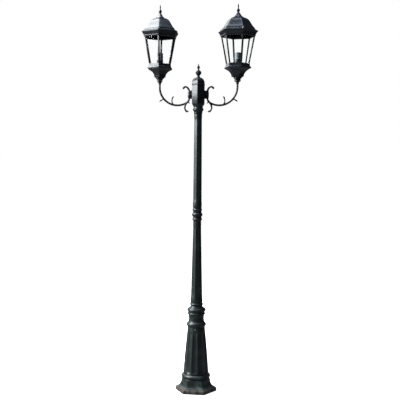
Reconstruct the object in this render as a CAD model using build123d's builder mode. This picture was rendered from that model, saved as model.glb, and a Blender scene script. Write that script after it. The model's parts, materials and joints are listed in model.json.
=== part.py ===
from build123d import *
from math import atan2, cos, degrees, pi, radians, sin, sqrt, tan
import os

# Two-armed street lamp post. Millimetres. +Z is up, the origin is on the post's axis at the ground,
# +X points along the right-hand arm and -Y is the front.

# ---- driving dimensions -------------------------------------------------------------------------
TO_FLAT = cos(radians(30))          # apothem of a hexagon over its circumradius
WALL = 4.0                          # usual wall of a casting
FREE = 0.1                          # radial gap of a screwed or socketed joint
RUNNING = 0.06                      # radial gap of a cup turning on its arm

FOOT_R = 125.0                      # hexagonal foot, over its corners
RING_BASE = 84.5                    # where the round ring starts on the hexagonal bell
FOOT_TOP = 108.0
PEDESTAL_TOP = 386.0
LOWER_COLLAR_TOP = 534.0
LOWER_POLE_TOP = 1016.0
MID_COLLAR_TOP = 1110.0
UPPER_POLE_TOP = 1655.0
HUB_BASE = 1709.0
HUB_TOP = 1824.0
HUB_R = 41.0                        # hexagonal hub, over its corners
HUB_WALL = 4.5

FLUTES = 12
POLE_SIDES = 8
POLE_TURN = -99.0                   # direction of one edge of the eight-sided poles

LANTERN_X = 232.0                   # lantern axis from the post's axis
LEFT_TURN = -84.5                   # direction of the left lantern's front corner
RIGHT_TURN = -68.5                  # direction of the right lantern's front corner
ARM_TOP = 1839.0                    # shoulder that carries the lantern
BOWL_BASE = 1873.0
RIM_BASE = 1923.0
GLASS_BASE = 1950.0
GLASS_TOP = 2107.0
CORNICE_TOP = 2134.0
ROOF_TOP = 2244.0
LANTERN_TOP = 2300.0

RIB_LOW_R = 67.5                    # rib line at the bottom and at the top of the glass
RIB_HIGH_R = 98.5
RIB_LEAF = 7.0                      # width of each leaf of a rib's angle section
RIB_THICK = 3.0
GLASS_THICK = 3.0

ARM_R = 6.0                         # arm tube, outside and bore
ARM_BORE_R = 4.0
ARM_BEND_R = 107.5                  # large bend that ends upright under the lantern
ARM_ROOT_R = 30.0                   # tight bend by the hub
ARM_ROOT_X = 55.0
BRACKET_LOW = 1746.0
BRACKET_HIGH = 1794.0
BRACKET_OUT_X = 63.0
ARM_PORT_Z = 1772.0                 # centre of the arm's hollow fixing spigot

LEAD_R = 2.0
MAIN_LEAD_R = 3.5
NIPPLE_R = 15.0                     # middle and upper nipples
NIPPLE_BORE_R = 11.5
LOWER_NIPPLE_R = 21.0
LOWER_NIPPLE_BORE_R = 17.0

E27_R = 13.25                       # wall radius of the lamp's screw shell
HOLDER_R = 19.0
HOLDER_BASE = 1950.0
HOLDER_TOP = 2015.0

ANCHOR_PCD = 130.0
ANCHOR_HOLE_R = 5.5
CABLE_HOLE_R = 20.0

os.makedirs("parts", exist_ok=True)


# ---- helpers ------------------------------------------------------------------------------------
def save(part, name):
    """Label a finished piece and write it."""
    part.label = name
    export_step(part, f"parts/{name}.step")


def hexagon_of(profile, top, direction, x=0.0):
    """Six mitred lengths of one moulding, its section drawn at the flats by profile()."""
    reach = 2 * FOOT_R
    half = reach * tan(radians(30))
    with BuildPart() as length:
        with BuildSketch(Plane.XZ):
            with BuildLine():
                profile()
            make_face()
        extrude(amount=half, both=True)
        with BuildSketch():
            Polygon((0, 0), (reach, -half), (reach, half), align=None)
        extrude(amount=top, mode=Mode.INTERSECT)
    with BuildPart() as ring:
        with Locations((x, 0)):
            with PolarLocations(0, 6, start_angle=direction + 30):
                add(length.part)
    return ring.part


def turned(profile):
    """A round piece on the post's axis, its half section drawn in XZ by profile()."""
    with BuildPart() as piece:
        with BuildSketch(Plane.XZ):
            with BuildLine():
                profile()
            make_face()
        revolve(axis=Axis.Z)
    return piece.part


def screws(places, shank_r, shank, head_r, head):
    """Identical cheese-headed screws, each at a plane whose normal points out of its head."""
    with BuildPart() as group:
        for place in places:
            with BuildSketch(place.offset(-shank)):
                Circle(shank_r)
            extrude(amount=shank)
            with BuildSketch(place):
                Circle(head_r)
            extrude(amount=head)
            with BuildSketch(place.offset(head / 2)):
                Rectangle(2 * head_r, head_r / 4)
            extrude(amount=head, mode=Mode.SUBTRACT)
    return group.part


def outward(angle, radius, z, x=0.0):
    """Plane at a radius and height, its normal pointing away from the vertical axis at x."""
    a = radians(angle)
    return Plane(origin=(x + radius * cos(a), radius * sin(a), z), z_dir=(cos(a), sin(a), 0))


# ---- foot ---------------------------------------------------------------------------------------
def foot_section():
    """Moulding of the foot at its flats: plinth, rolled edge and hollow bell."""
    Polyline((FOOT_R * TO_FLAT, 0), (FOOT_R * TO_FLAT, 14))
    ThreePointArc((FOOT_R * TO_FLAT, 14), (123 * TO_FLAT, 21), (117 * TO_FLAT, 25))
    Polyline((117 * TO_FLAT, 25), (114 * TO_FLAT, 24), (113.5 * TO_FLAT, 28))
    Spline(
        (113.5 * TO_FLAT, 28), (100 * TO_FLAT, 34.5), (91.5 * TO_FLAT, 46), (87 * TO_FLAT, 62),
        (RING_BASE * TO_FLAT, 80),
    )
    Polyline((RING_BASE * TO_FLAT, 80), (RING_BASE * TO_FLAT - 7, 80))
    Spline(
        (RING_BASE * TO_FLAT - 7, 80), (88 * TO_FLAT - 7, 57), (93 * TO_FLAT - 6, 42),
        (101 * TO_FLAT - 4, 28),
    )
    Polyline((101 * TO_FLAT - 4, 28), (118 * TO_FLAT, 14), (118 * TO_FLAT, 0), (FOOT_R * TO_FLAT, 0))


FOOT_SCREW_Z = 11.0
FOOT_BOLT_R = 50.0
foot_hexagon = hexagon_of(foot_section, 90, 0)
with BuildPart() as foot_casting:
    add(foot_hexagon)
    with BuildSketch(Plane.XZ):
        with BuildLine():
            Polyline((62, 76), (80, 78))
            ThreePointArc((80, 78), (87, 90), (79, 104))
            Polyline((79, 104), (77.5, FOOT_TOP), (CABLE_HOLE_R, FOOT_TOP), (CABLE_HOLE_R, 100))
            Polyline((CABLE_HOLE_R, 100), (66, 100), (62, 76))
        make_face()
    revolve(axis=Axis.Z)
    with BuildSketch(Plane.XY.offset(100)):
        with PolarLocations(FOOT_BOLT_R, 3, start_angle=30):
            Circle(4.5)
    extrude(amount=10, mode=Mode.SUBTRACT)
    for turn in (-90, 30, 150):
        with BuildSketch(outward(turn, 95, FOOT_SCREW_Z)):
            Circle(3.3)
        extrude(amount=20, mode=Mode.SUBTRACT)
        with BuildSketch(outward(turn, FOOT_R * TO_FLAT - 3, FOOT_SCREW_Z)):
            Circle(6.3)
        extrude(amount=6, mode=Mode.SUBTRACT)
save(foot_casting.part, "foot_casting")

with BuildPart() as anchor_plate:
    with BuildSketch():
        Circle(90)
        Circle(CABLE_HOLE_R, mode=Mode.SUBTRACT)
        with PolarLocations(ANCHOR_PCD / 2, 4, start_angle=45):
            Circle(ANCHOR_HOLE_R, mode=Mode.SUBTRACT)
    extrude(amount=6)
    for turn in (-90, 30, 150):
        with BuildSketch(Plane.XY.offset(6)):
            with PolarLocations(90, 1, start_angle=turn):
                Rectangle(18, 20)
        extrude(amount=10)
        with BuildSketch(outward(turn, 80, FOOT_SCREW_Z)):
            Circle(3.1)
        extrude(amount=30, mode=Mode.SUBTRACT)
save(anchor_plate.part, "anchor_plate")

foot_faces = [outward(turn, FOOT_R * TO_FLAT - 3, FOOT_SCREW_Z) for turn in (-90, 30, 150)]
save(screws(foot_faces, 3.0, 18, 5.5, 2.8), "foot_screws")

with BuildPart() as pedestal_bolts:
    with BuildSketch(Plane.XY.offset(94.5)):
        with PolarLocations(FOOT_BOLT_R, 3, start_angle=30):
            RegularPolygon(7.5, 6)
    extrude(amount=5.5)
    with BuildSketch(Plane.XY.offset(100)):
        with PolarLocations(FOOT_BOLT_R, 3, start_angle=30):
            Circle(4.0)
    extrude(amount=22)
save(pedestal_bolts.part, "pedestal_bolts")

with BuildPart() as foot_terminal_block:
    with BuildSketch(Plane.XY.offset(6)):
        with Locations((0, -44)):
            RectangleRounded(44, 22, 2)
    extrude(amount=20)
    with BuildSketch(Plane.XY.offset(26)):
        with Locations((0, -44)):
            with GridLocations(12, 12, 3, 2):
                Circle(2.4)
    extrude(amount=-8, mode=Mode.SUBTRACT)
save(foot_terminal_block.part, "foot_terminal_block")

with BuildPart() as earth_stud:
    with BuildSketch(Plane.XY.offset(6)):
        with Locations((0, 46)):
            RegularPolygon(6.5, 6)
    extrude(amount=5)
    with BuildSketch(Plane.XY.offset(11)):
        with Locations((0, 46)):
            Circle(3)
    extrude(amount=16)
save(earth_stud.part, "earth_stud")


# ---- fluted pedestal ----------------------------------------------------------------------------
def pedestal_radius(z):
    """Outside radius of the pedestal, slightly swollen."""
    t = (z - FOOT_TOP) / (PEDESTAL_TOP - FOOT_TOP)
    return 75.9 + (51.2 - 75.9) * t + 1.6 * 4 * t * (1 - t)


def pedestal_section():
    """Half section of the pedestal with a spigot seat at its top and a floor at its base."""
    middle = (FOOT_TOP + PEDESTAL_TOP) / 2
    ThreePointArc(
        (pedestal_radius(FOOT_TOP), FOOT_TOP),
        (pedestal_radius(middle), middle),
        (pedestal_radius(PEDESTAL_TOP), PEDESTAL_TOP),
    )
    Polyline(
        (pedestal_radius(PEDESTAL_TOP), PEDESTAL_TOP), (43, PEDESTAL_TOP), (43, 362), (42, 350),
        (66, 124), (CABLE_HOLE_R, 124), (CABLE_HOLE_R, FOOT_TOP), (pedestal_radius(FOOT_TOP), FOOT_TOP),
    )


FLUTE_LOW = 128.0
FLUTE_HIGH = 346.0
FLUTE_SHARE = 0.8                   # share of the pitch taken by a flute
flute_low_half = FLUTE_SHARE * pedestal_radius(FLUTE_LOW) * sin(radians(180 / FLUTES))
flute_high_half = FLUTE_SHARE * pedestal_radius(FLUTE_HIGH) * sin(radians(180 / FLUTES))
FLUTE_LOW_DEEP = 4.6
FLUTE_HIGH_DEEP = 3.4
flute_low_r = (flute_low_half ** 2 + FLUTE_LOW_DEEP ** 2) / (2 * FLUTE_LOW_DEEP)
flute_high_r = (flute_high_half ** 2 + FLUTE_HIGH_DEEP ** 2) / (2 * FLUTE_HIGH_DEEP)
flute_low_x = pedestal_radius(FLUTE_LOW) + flute_low_r - FLUTE_LOW_DEEP
flute_high_x = pedestal_radius(FLUTE_HIGH) + flute_high_r - FLUTE_HIGH_DEEP
flute_run = (flute_high_x - flute_low_x, 0, FLUTE_HIGH - FLUTE_LOW)
flute_length = sqrt(flute_run[0] ** 2 + flute_run[2] ** 2)
with BuildPart(Plane(origin=(flute_low_x, 0, FLUTE_LOW), x_dir=(0, 1, 0), z_dir=flute_run)) as flute:
    Cone(flute_low_r, flute_high_r, flute_length, align=(Align.CENTER, Align.CENTER, Align.MIN))
    Sphere(flute_low_r)
    with Locations((0, 0, flute_length)):
        Sphere(flute_high_r)

pedestal_blank = turned(pedestal_section)
COLLAR_SCREW_Z = 376.0
with BuildPart() as fluted_pedestal:
    add(pedestal_blank)
    with PolarLocations(0, FLUTES):
        add(flute.part, mode=Mode.SUBTRACT)
    with BuildSketch(Plane.XY.offset(FOOT_TOP)):
        with PolarLocations(FOOT_BOLT_R, 3, start_angle=30):
            Circle(4.0 + FREE)
    extrude(amount=16, mode=Mode.SUBTRACT)
    for turn in (30, 150, 270):
        with BuildSketch(outward(turn, 40, COLLAR_SCREW_Z)):
            Circle(2.6)
        extrude(amount=20, mode=Mode.SUBTRACT)
save(fluted_pedestal.part, "fluted_pedestal")

screw_faces = [outward(turn, 52.9, COLLAR_SCREW_Z) for turn in (30, 150, 270)]
save(screws(screw_faces, 2.4, 9.5, 4.2, 1.6), "collar_screws")


# ---- column -------------------------------------------------------------------------------------
def lower_collar_section():
    """Half section of the turned collar on the pedestal: bead, straight neck, double bead and cove."""
    Polyline((51, PEDESTAL_TOP), (54, 388))
    ThreePointArc((54, 388), (58.2, 401), (52, 414))
    Spline((52, 414), (46.8, 421), (45.4, 433), (45.6, 447), (47.5, 457))
    ThreePointArc((47.5, 457), (52.8, 466), (52, 475))
    ThreePointArc((52, 475), (56, 489), (49, 502))
    Spline((49, 502), (38, 506), (35.5, 514))
    ThreePointArc((35.5, 514), (39.8, 521), (36.5, 528))
    Polyline(
        (36.5, 528), (36.5, LOWER_COLLAR_TOP), (LOWER_NIPPLE_R + FREE, LOWER_COLLAR_TOP),
        (LOWER_NIPPLE_R + FREE, 505), (30, 490), (34, 400), (36, 365), (43 - FREE, 365),
        (43 - FREE, PEDESTAL_TOP), (51, PEDESTAL_TOP),
    )


save(turned(lower_collar_section), "lower_collar")


def tube_section(low, high, outer, inner):
    """Half section of a plain tube."""
    Polyline((inner, low), (outer, low), (outer, high), (inner, high), (inner, low))


save(turned(lambda: tube_section(506, 560, LOWER_NIPPLE_R, LOWER_NIPPLE_BORE_R)), "lower_nipple")
save(turned(lambda: tube_section(986, 1140, NIPPLE_R, NIPPLE_BORE_R)), "middle_nipple")
save(turned(lambda: tube_section(1630, 1724, NIPPLE_R, NIPPLE_BORE_R)), "upper_nipple")


def pole(low, high, low_r, high_r, sockets, margin):
    """A tapered round pole with eight flats that run out short of its ends."""
    low_socket, low_depth, high_socket, high_depth = sockets
    to_flat = cos(radians(180 / POLE_SIDES))
    slope = (high_r - low_r) / (high - low)
    runout = 26
    reach = low_r + 2 * WALL

    def section():
        """Half section of the shank with a socket in each end."""
        Polyline(
            (low_r, low), (high_r, high), (high_socket, high), (high_socket, high - high_depth),
            (high_r - 1.6 * WALL, high - high_depth - 6), (low_r - 1.6 * WALL, low + low_depth + 6),
            (low_socket, low + low_depth), (low_socket, low), (low_r, low),
        )

    def flat_at(z):
        """Distance of a flat from the axis at a height."""
        return (low_r + slope * (z - low)) * to_flat

    shank = turned(section)
    with BuildPart() as eighth:
        with BuildSketch(Plane.XZ):
            Polygon(
                (0, low), (low_r + WALL, low), (low_r + WALL, low + margin - runout),
                (flat_at(low + margin), low + margin), (flat_at(high - margin), high - margin),
                (low_r + WALL, high - margin + runout), (low_r + WALL, high), (0, high), align=None,
            )
        extrude(amount=reach, both=True)
        with BuildSketch(Plane.XY.offset(low)):
            half = reach * tan(radians(180 / POLE_SIDES))
            Polygon((0, 0), (reach, -half), (reach, half), align=None)
        extrude(amount=high - low, mode=Mode.INTERSECT)
    with BuildPart() as piece:
        with PolarLocations(0, POLE_SIDES, start_angle=POLE_TURN + 180 / POLE_SIDES):
            add(eighth.part)
        add(shank, mode=Mode.INTERSECT)
    return piece.part


lower_sockets = (LOWER_NIPPLE_R + FREE, 28, NIPPLE_R + FREE, 32)
upper_sockets = (NIPPLE_R + FREE, 32, NIPPLE_R + FREE, 27)
save(pole(LOWER_COLLAR_TOP, LOWER_POLE_TOP, 36.5, 23.8, lower_sockets, 46), "lower_pole")
save(pole(MID_COLLAR_TOP, UPPER_POLE_TOP, 26.4, 23.5, upper_sockets, 40), "upper_pole")


def mid_collar_section():
    """Half section of the ball collar that joins the two poles."""
    Polyline((24, LOWER_POLE_TOP), (24.5, 1022))
    ThreePointArc((24.5, 1022), (29.5, 1030), (25.6, 1038.5))
    Polyline((25.6, 1038.5), (25.6, 1042))
    ThreePointArc((25.6, 1042), (31.2, 1058), (25.6, 1075))
    ThreePointArc((25.6, 1081), (28.6, 1087), (26.2, 1093))
    Polyline((25.6, 1075), (25.6, 1081))
    Polyline(
        (26.2, 1093), (26.4, MID_COLLAR_TOP), (NIPPLE_R + FREE, MID_COLLAR_TOP),
        (NIPPLE_R + FREE, LOWER_POLE_TOP), (24, LOWER_POLE_TOP),
    )


save(turned(mid_collar_section), "middle_collar")


def hub_collar_section():
    """Half section of the round collar under the hub."""
    Polyline((23.5, UPPER_POLE_TOP), (24, 1658))
    ThreePointArc((24, 1658), (26.4, 1662), (26.5, 1666))
    Spline((26.5, 1666), (28.5, 1673), (31.5, 1677))
    ThreePointArc((31.5, 1677), (33, 1682), (31, 1686))
    Spline((31, 1686), (27.7, 1692), (29, 1699), (34, HUB_BASE))
    Polyline(
        (34, HUB_BASE), (NIPPLE_R + FREE, HUB_BASE), (NIPPLE_R + FREE, UPPER_POLE_TOP),
        (23.5, UPPER_POLE_TOP),
    )


save(turned(hub_collar_section), "hub_collar")

# ---- hub ----------------------------------------------------------------------------------------
HUB_FLAT = HUB_R * TO_FLAT
ARM_SPIGOT_R = 7.0
with BuildPart() as hub_body:
    with BuildSketch(Plane.XY.offset(HUB_BASE)):
        RegularPolygon(HUB_R - 4, 6, rotation=30)
    with BuildSketch(Plane.XY.offset(HUB_BASE + 7)):
        RegularPolygon(HUB_R, 6, rotation=30)
    loft(ruled=True)
    with BuildSketch(Plane.XY.offset(HUB_BASE + 7)):
        RegularPolygon(HUB_R, 6, rotation=30)
    extrude(amount=HUB_TOP - HUB_BASE - 7)
    with BuildSketch(Plane.XY.offset(HUB_BASE + 6)):
        RegularPolygon(HUB_R - HUB_WALL / TO_FLAT, 6, rotation=30)
    extrude(amount=HUB_TOP, mode=Mode.SUBTRACT)
    with BuildSketch(Plane.XY.offset(HUB_BASE)):
        Circle(NIPPLE_R + FREE)
    extrude(amount=10, mode=Mode.SUBTRACT)
    with BuildSketch(Plane.YZ.offset(-HUB_R)):
        with Locations((0, ARM_PORT_Z)):
            Circle(ARM_SPIGOT_R + FREE)
    extrude(amount=2 * HUB_R, mode=Mode.SUBTRACT)
save(hub_body.part, "hub_body")

with BuildPart() as nipple_nut:
    with BuildSketch(Plane.XY.offset(HUB_BASE + 6)):
        RegularPolygon(24, 6)
        Circle(NIPPLE_R + FREE, mode=Mode.SUBTRACT)
    extrude(amount=8)
save(nipple_nut.part, "nipple_nut")

with BuildPart() as hub_crossbar:
    with BuildSketch(Plane.XY.offset(1800)):
        Rectangle(13, 2 * (HUB_R - 10.5))
        Rectangle(2 * (HUB_FLAT - HUB_WALL) - 0.4, 13)
        Circle(3.1, mode=Mode.SUBTRACT)
    extrude(amount=5)
save(hub_crossbar.part, "hub_crossbar")

with BuildPart() as hub_terminal_block:
    with BuildSketch(Plane.XY.offset(1782)):
        RectangleRounded(20, 34, 2)
    extrude(amount=18)
    with BuildSketch(Plane.YZ.offset(-10)):
        with Locations((0, 1791)):
            with GridLocations(10, 10, 3, 1):
                Circle(2.2)
    extrude(amount=5, mode=Mode.SUBTRACT)
    with BuildSketch(Plane.YZ.offset(10)):
        with Locations((0, 1791)):
            with GridLocations(10, 10, 3, 1):
                Circle(2.2)
    extrude(amount=-5, mode=Mode.SUBTRACT)
save(hub_terminal_block.part, "hub_terminal_block")


def hub_cap_section():
    """Moulding of the hub's cap at its flats: rim, then a swept-in dome."""
    rim = 43.4 * TO_FLAT
    Polyline((0, HUB_TOP), (rim - 1, HUB_TOP))
    ThreePointArc((rim - 1, HUB_TOP), (rim, HUB_TOP + 6), (rim - 1, HUB_TOP + 12))
    Spline(
        (rim - 1, HUB_TOP + 12), (40.5 * TO_FLAT, 1846), (35.5 * TO_FLAT, 1858), (27 * TO_FLAT, 1866),
        (12 * TO_FLAT, 1872),
    )
    Polyline((12 * TO_FLAT, 1872), (0, 1872), (0, HUB_TOP))


cap_solid = hexagon_of(hub_cap_section, 1880, 90)
with BuildPart() as hub_cap:
    add(cap_solid)
    with BuildSketch(Plane.XY.offset(HUB_TOP)):
        RegularPolygon(36, 6, rotation=30)
    with BuildSketch(Plane.XY.offset(HUB_TOP + 22)):
        RegularPolygon(33, 6, rotation=30)
    with BuildSketch(Plane.XY.offset(1862)):
        RegularPolygon(16, 6, rotation=30)
    loft(ruled=True, mode=Mode.SUBTRACT)
    with BuildSketch(Plane.XY.offset(1855)):
        Circle(3.2)
    extrude(amount=20, mode=Mode.SUBTRACT)
save(hub_cap.part, "hub_cap")


def hub_finial_section():
    """Half section of the urn finial with its long fixing stud."""
    Polyline((0, 1800.5), (3, 1800.5), (3, 1872), (9.6, 1872), (9.6, 1876))
    Spline((9.6, 1876), (8, 1880), (13, 1888), (17.5, 1899), (14, 1908), (5, 1916))
    Spline((5, 1916), (4.4, 1920), (8.4, 1929), (4.2, 1940), (1.2, 1951))
    Polyline((1.2, 1951), (0, 1951), (0, 1800.5))


save(turned(hub_finial_section), "hub_finial")

# ---- arms ---------------------------------------------------------------------------------------
bend_x = LANTERN_X - ARM_BEND_R
bend_z = 1814.5
root_x = ARM_ROOT_X + ARM_ROOT_R
root_z = bend_z - sqrt((ARM_BEND_R - ARM_ROOT_R) ** 2 - (bend_x - root_x) ** 2)
meet = 180 + degrees(atan2(bend_z - root_z, bend_x - root_x))


def arm_line(low, high):
    """Centre-line of the arm: down from the bracket, round the two bends and up to the lantern."""
    Line((ARM_ROOT_X, low), (ARM_ROOT_X, root_z))
    CenterArc((root_x, root_z), ARM_ROOT_R, 180, meet - 180)
    CenterArc((bend_x, bend_z), ARM_BEND_R, meet, 360 - meet)
    Line((LANTERN_X, bend_z), (LANTERN_X, high))


def tapered_horn(points, root_r, tip_r, ball_r, start_tangent):
    """A scroll: a horn swept along a spline, thinning from root_r to tip_r, ending in a ball."""
    (last_x, last_z), (before_x, before_z) = points[-1], points[-2]
    end_tangent = (last_x - before_x, last_z - before_z)
    with BuildPart() as horn:
        with BuildLine(Plane.XZ) as spine:
            Spline(*points, tangents=[start_tangent, end_tangent])
        curve = spine.line
        for share in (0.0, 0.5, 1.0):
            with BuildSketch(Plane(origin=curve @ share, z_dir=curve % share)):
                Circle(root_r + (tip_r - root_r) * share)
        sweep(path=curve, multisection=True)
        with Locations(curve @ 1):
            Sphere(ball_r)
    return horn.part


upper_scroll = tapered_horn([(54, 1788), (62, 1808), (78, 1817), (90, 1803)], 6.0, 4.2, 6.5, (0.1, 1))
lower_scroll = tapered_horn([(70, 1722), (80, 1694), (72, 1672), (58, 1674)], 5.4, 3.8, 5.6, (0.9, -0.6))
spur = tapered_horn([(61, 1731), (55, 1722), (48, 1717)], 4.5, 2.4, 2.8, (-0.5, -0.8))
inner_leaf = tapered_horn([(152, 1711), (158, 1734), (147, 1760)], 4.6, 2.8, 4.0, (0.9, 0.4))
outer_leaf = tapered_horn([(205, 1746), (219, 1738), (235, 1729)], 4.2, 2.8, 4.2, (1, -0.3))

with BuildPart() as arm_tube:
    with BuildLine(Plane.XZ) as line:
        arm_line(1762, 1863)
    with BuildSketch(Plane(origin=(ARM_ROOT_X, 0, 1762), z_dir=(0, 0, -1))):
        Circle(ARM_R)
    sweep(path=line.line)
with BuildPart() as arm_bore:
    with BuildLine(Plane.XZ) as line:
        arm_line(1762, 1863)
    with BuildSketch(Plane(origin=(ARM_ROOT_X, 0, 1762), z_dir=(0, 0, -1))):
        Circle(ARM_BORE_R)
    sweep(path=line.line)

BRACKET_HALF = 13.0
with BuildPart() as arm:
    with BuildSketch(Plane.YZ.offset(HUB_FLAT)):
        with Locations((0, (BRACKET_LOW + BRACKET_HIGH) / 2)):
            RectangleRounded(2 * BRACKET_HALF + 6, BRACKET_HIGH - BRACKET_LOW, 5)
    extrude(amount=6)
    with BuildSketch(Plane.XZ):
        with BuildLine():
            Polyline(
                (HUB_FLAT + 5, BRACKET_LOW + 3), (HUB_FLAT + 5, BRACKET_HIGH - 2), (54, BRACKET_HIGH - 2),
            )
            ThreePointArc((54, BRACKET_HIGH - 2), (62, BRACKET_HIGH - 6), (BRACKET_OUT_X, 1780))
            Polyline((BRACKET_OUT_X, 1780), (BRACKET_OUT_X, 1760))
            ThreePointArc((BRACKET_OUT_X, 1760), (60, 1750), (52, 1744))
            Polyline((52, 1744), (HUB_FLAT + 5, BRACKET_LOW + 3))
        make_face()
    extrude(amount=10, both=True)
    for piece in (arm_tube.part, upper_scroll, lower_scroll, spur, inner_leaf, outer_leaf):
        add(piece)
    with BuildSketch(Plane.YZ.offset(HUB_FLAT - HUB_WALL - 12)):
        with Locations((0, ARM_PORT_Z)):
            Circle(ARM_SPIGOT_R)
    extrude(amount=HUB_WALL + 13)
    with BuildSketch(Plane.XY.offset(ARM_TOP - 6)):
        with Locations((LANTERN_X, 0)):
            Circle(8.5)
    extrude(amount=6)
    with BuildSketch(Plane.YZ.offset(HUB_FLAT - HUB_WALL - 13)):
        with Locations((0, ARM_PORT_Z)):
            Circle(ARM_BORE_R)
    extrude(amount=ARM_ROOT_X - HUB_FLAT + HUB_WALL + 13, mode=Mode.SUBTRACT)
    with BuildSketch(Plane.XZ):
        Polygon(
            (HUB_FLAT + 8, 1768), (HUB_FLAT + 8, 1776), (56, 1776), (59, 1772), (59, 1760), (51, 1760),
            align=None,
        )
    extrude(amount=4, both=True, mode=Mode.SUBTRACT)
    add(arm_bore.part, mode=Mode.SUBTRACT)
save(arm.part, "right_arm")
save(mirror(arm.part, about=Plane.YZ), "left_arm")

with BuildPart() as arm_nuts:
    for side in (1, -1):
        with BuildSketch(Plane.YZ.offset(side * (HUB_FLAT - HUB_WALL))):
            with Locations((0, ARM_PORT_Z)):
                RegularPolygon(11.5, 6)
                Circle(ARM_SPIGOT_R + FREE, mode=Mode.SUBTRACT)
        extrude(amount=-side * 6)
save(arm_nuts.part, "arm_nuts")

# ---- leads --------------------------------------------------------------------------------------
TURN_R = 12.0
with BuildPart() as lead:
    with BuildLine(Plane.XZ) as route:
        Line((14, ARM_PORT_Z), (ARM_ROOT_X - TURN_R, ARM_PORT_Z))
        CenterArc((ARM_ROOT_X - TURN_R, ARM_PORT_Z - TURN_R), TURN_R, 90, -90)
        arm_line(ARM_PORT_Z - TURN_R, HOLDER_BASE)
    with BuildSketch(Plane(origin=(14, 0, ARM_PORT_Z), z_dir=(1, 0, 0))):
        Circle(LEAD_R)
    sweep(path=route.line)
lead_length = sum(edge.length for edge in route.line.edges())
lead_fill = lead.part.volume / (pi * LEAD_R ** 2 * lead_length)
print(f"lamp lead {lead_length:.0f} mm, volume over section x length {lead_fill:.4f},",
      f"radii {TURN_R} {ARM_ROOT_R} {ARM_BEND_R}")
save(lead.part, "right_lead")
save(mirror(lead.part, about=Plane.YZ), "left_lead")
with BuildPart() as main_lead:
    with BuildSketch(Plane.XY.offset(60)):
        Circle(MAIN_LEAD_R)
    extrude(amount=1782 - 60)
save(main_lead.part, "main_lead")


# ---- lanterns -----------------------------------------------------------------------------------
def bowl_section():
    """Moulding of the hollow bowl under the lantern, with its flat floor."""
    Polyline((0, BOWL_BASE), (36 * TO_FLAT, BOWL_BASE), (37.5 * TO_FLAT, 1877))
    Spline(
        (37.5 * TO_FLAT, 1877), (40 * TO_FLAT, 1890), (50 * TO_FLAT, 1903), (66 * TO_FLAT, 1915),
        (79 * TO_FLAT, RIM_BASE - 2),
    )
    Polyline((79 * TO_FLAT, RIM_BASE - 2), (79 * TO_FLAT, RIM_BASE), (70 * TO_FLAT, RIM_BASE))
    Spline((70 * TO_FLAT, RIM_BASE), (47 * TO_FLAT, 1907), (36 * TO_FLAT, 1892), (33 * TO_FLAT, 1877))
    Polyline((33 * TO_FLAT, 1877), (0, 1877), (0, BOWL_BASE))


def rim_section():
    """Moulding of the lower rim: overhanging edge and a slope up to the ribs."""
    Polyline(
        (80 * TO_FLAT, RIM_BASE), (82 * TO_FLAT, RIM_BASE + 2), (81 * TO_FLAT, RIM_BASE + 6),
        (76 * TO_FLAT, RIM_BASE + 12), (73 * TO_FLAT, GLASS_BASE), (57 * TO_FLAT, GLASS_BASE),
        (57 * TO_FLAT, GLASS_BASE - 4), (70 * TO_FLAT, RIM_BASE + 8), (74 * TO_FLAT, RIM_BASE),
        (80 * TO_FLAT, RIM_BASE),
    )


def cornice_section():
    """Moulding of the cornice: glass ledge, two fasciae and a flared top."""
    Polyline((88 * TO_FLAT, GLASS_TOP), (104.5 * TO_FLAT, GLASS_TOP), (106 * TO_FLAT, 2112))
    Polyline((106 * TO_FLAT, 2112), (107 * TO_FLAT, 2119), (109.5 * TO_FLAT, 2120))
    Spline((109.5 * TO_FLAT, 2120), (112.5 * TO_FLAT, 2127), (118 * TO_FLAT, CORNICE_TOP - 2))
    Polyline(
        (118 * TO_FLAT, CORNICE_TOP - 2), (118 * TO_FLAT, CORNICE_TOP), (95 * TO_FLAT, CORNICE_TOP),
        (95 * TO_FLAT, CORNICE_TOP - 4), (103 * TO_FLAT, CORNICE_TOP - 5), (101 * TO_FLAT, GLASS_TOP + 4),
        (88 * TO_FLAT, GLASS_TOP + 4), (88 * TO_FLAT, GLASS_TOP),
    )


ROOF_LIP = CORNICE_TOP + 3


def roof_section():
    """Moulding of the roof shell: eave lip, skirt, raised band, ogee slope and crown."""
    crown = 12 * TO_FLAT
    Polyline((96 * TO_FLAT, CORNICE_TOP), (119.5 * TO_FLAT, CORNICE_TOP), (121.5 * TO_FLAT, ROOF_LIP))
    Spline((121.5 * TO_FLAT, ROOF_LIP), (111 * TO_FLAT, 2143), (101 * TO_FLAT, 2150))
    Polyline((101 * TO_FLAT, 2150), (100.5 * TO_FLAT, 2155), (96 * TO_FLAT, 2157))
    Spline(
        (96 * TO_FLAT, 2157), (87 * TO_FLAT, 2170), (78 * TO_FLAT, 2183), (63 * TO_FLAT, 2205),
        (43 * TO_FLAT, 2216), (25 * TO_FLAT, 2225), (crown, ROOF_TOP),
    )
    Polyline((crown, ROOF_TOP), (0, ROOF_TOP), (0, ROOF_TOP - 8), (crown - 3, ROOF_TOP - 8))
    Spline(
        (crown - 3, ROOF_TOP - 8), (37 * TO_FLAT, 2213), (58 * TO_FLAT, 2203), (74 * TO_FLAT, 2181),
        (92 * TO_FLAT, 2155),
    )
    Polyline((92 * TO_FLAT, 2155), (96 * TO_FLAT, CORNICE_TOP + 6), (96 * TO_FLAT, CORNICE_TOP))


def cup_section():
    """Half section of the round cup that turns on the arm's upright end."""
    Polyline((ARM_R + RUNNING, ARM_TOP), (9, ARM_TOP), (10, 1842))
    Spline((10, 1842), (15.5, 1849), (18.5, 1856), (20, 1863))
    Polyline((20, 1863), (24, 1866), (25, BOWL_BASE), (5.1, BOWL_BASE))
    Polyline((5.1, BOWL_BASE), (5.1, 1863.4), (ARM_R + RUNNING, 1863.4))
    Polyline((ARM_R + RUNNING, 1863.4), (ARM_R + RUNNING, ARM_TOP))


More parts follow.
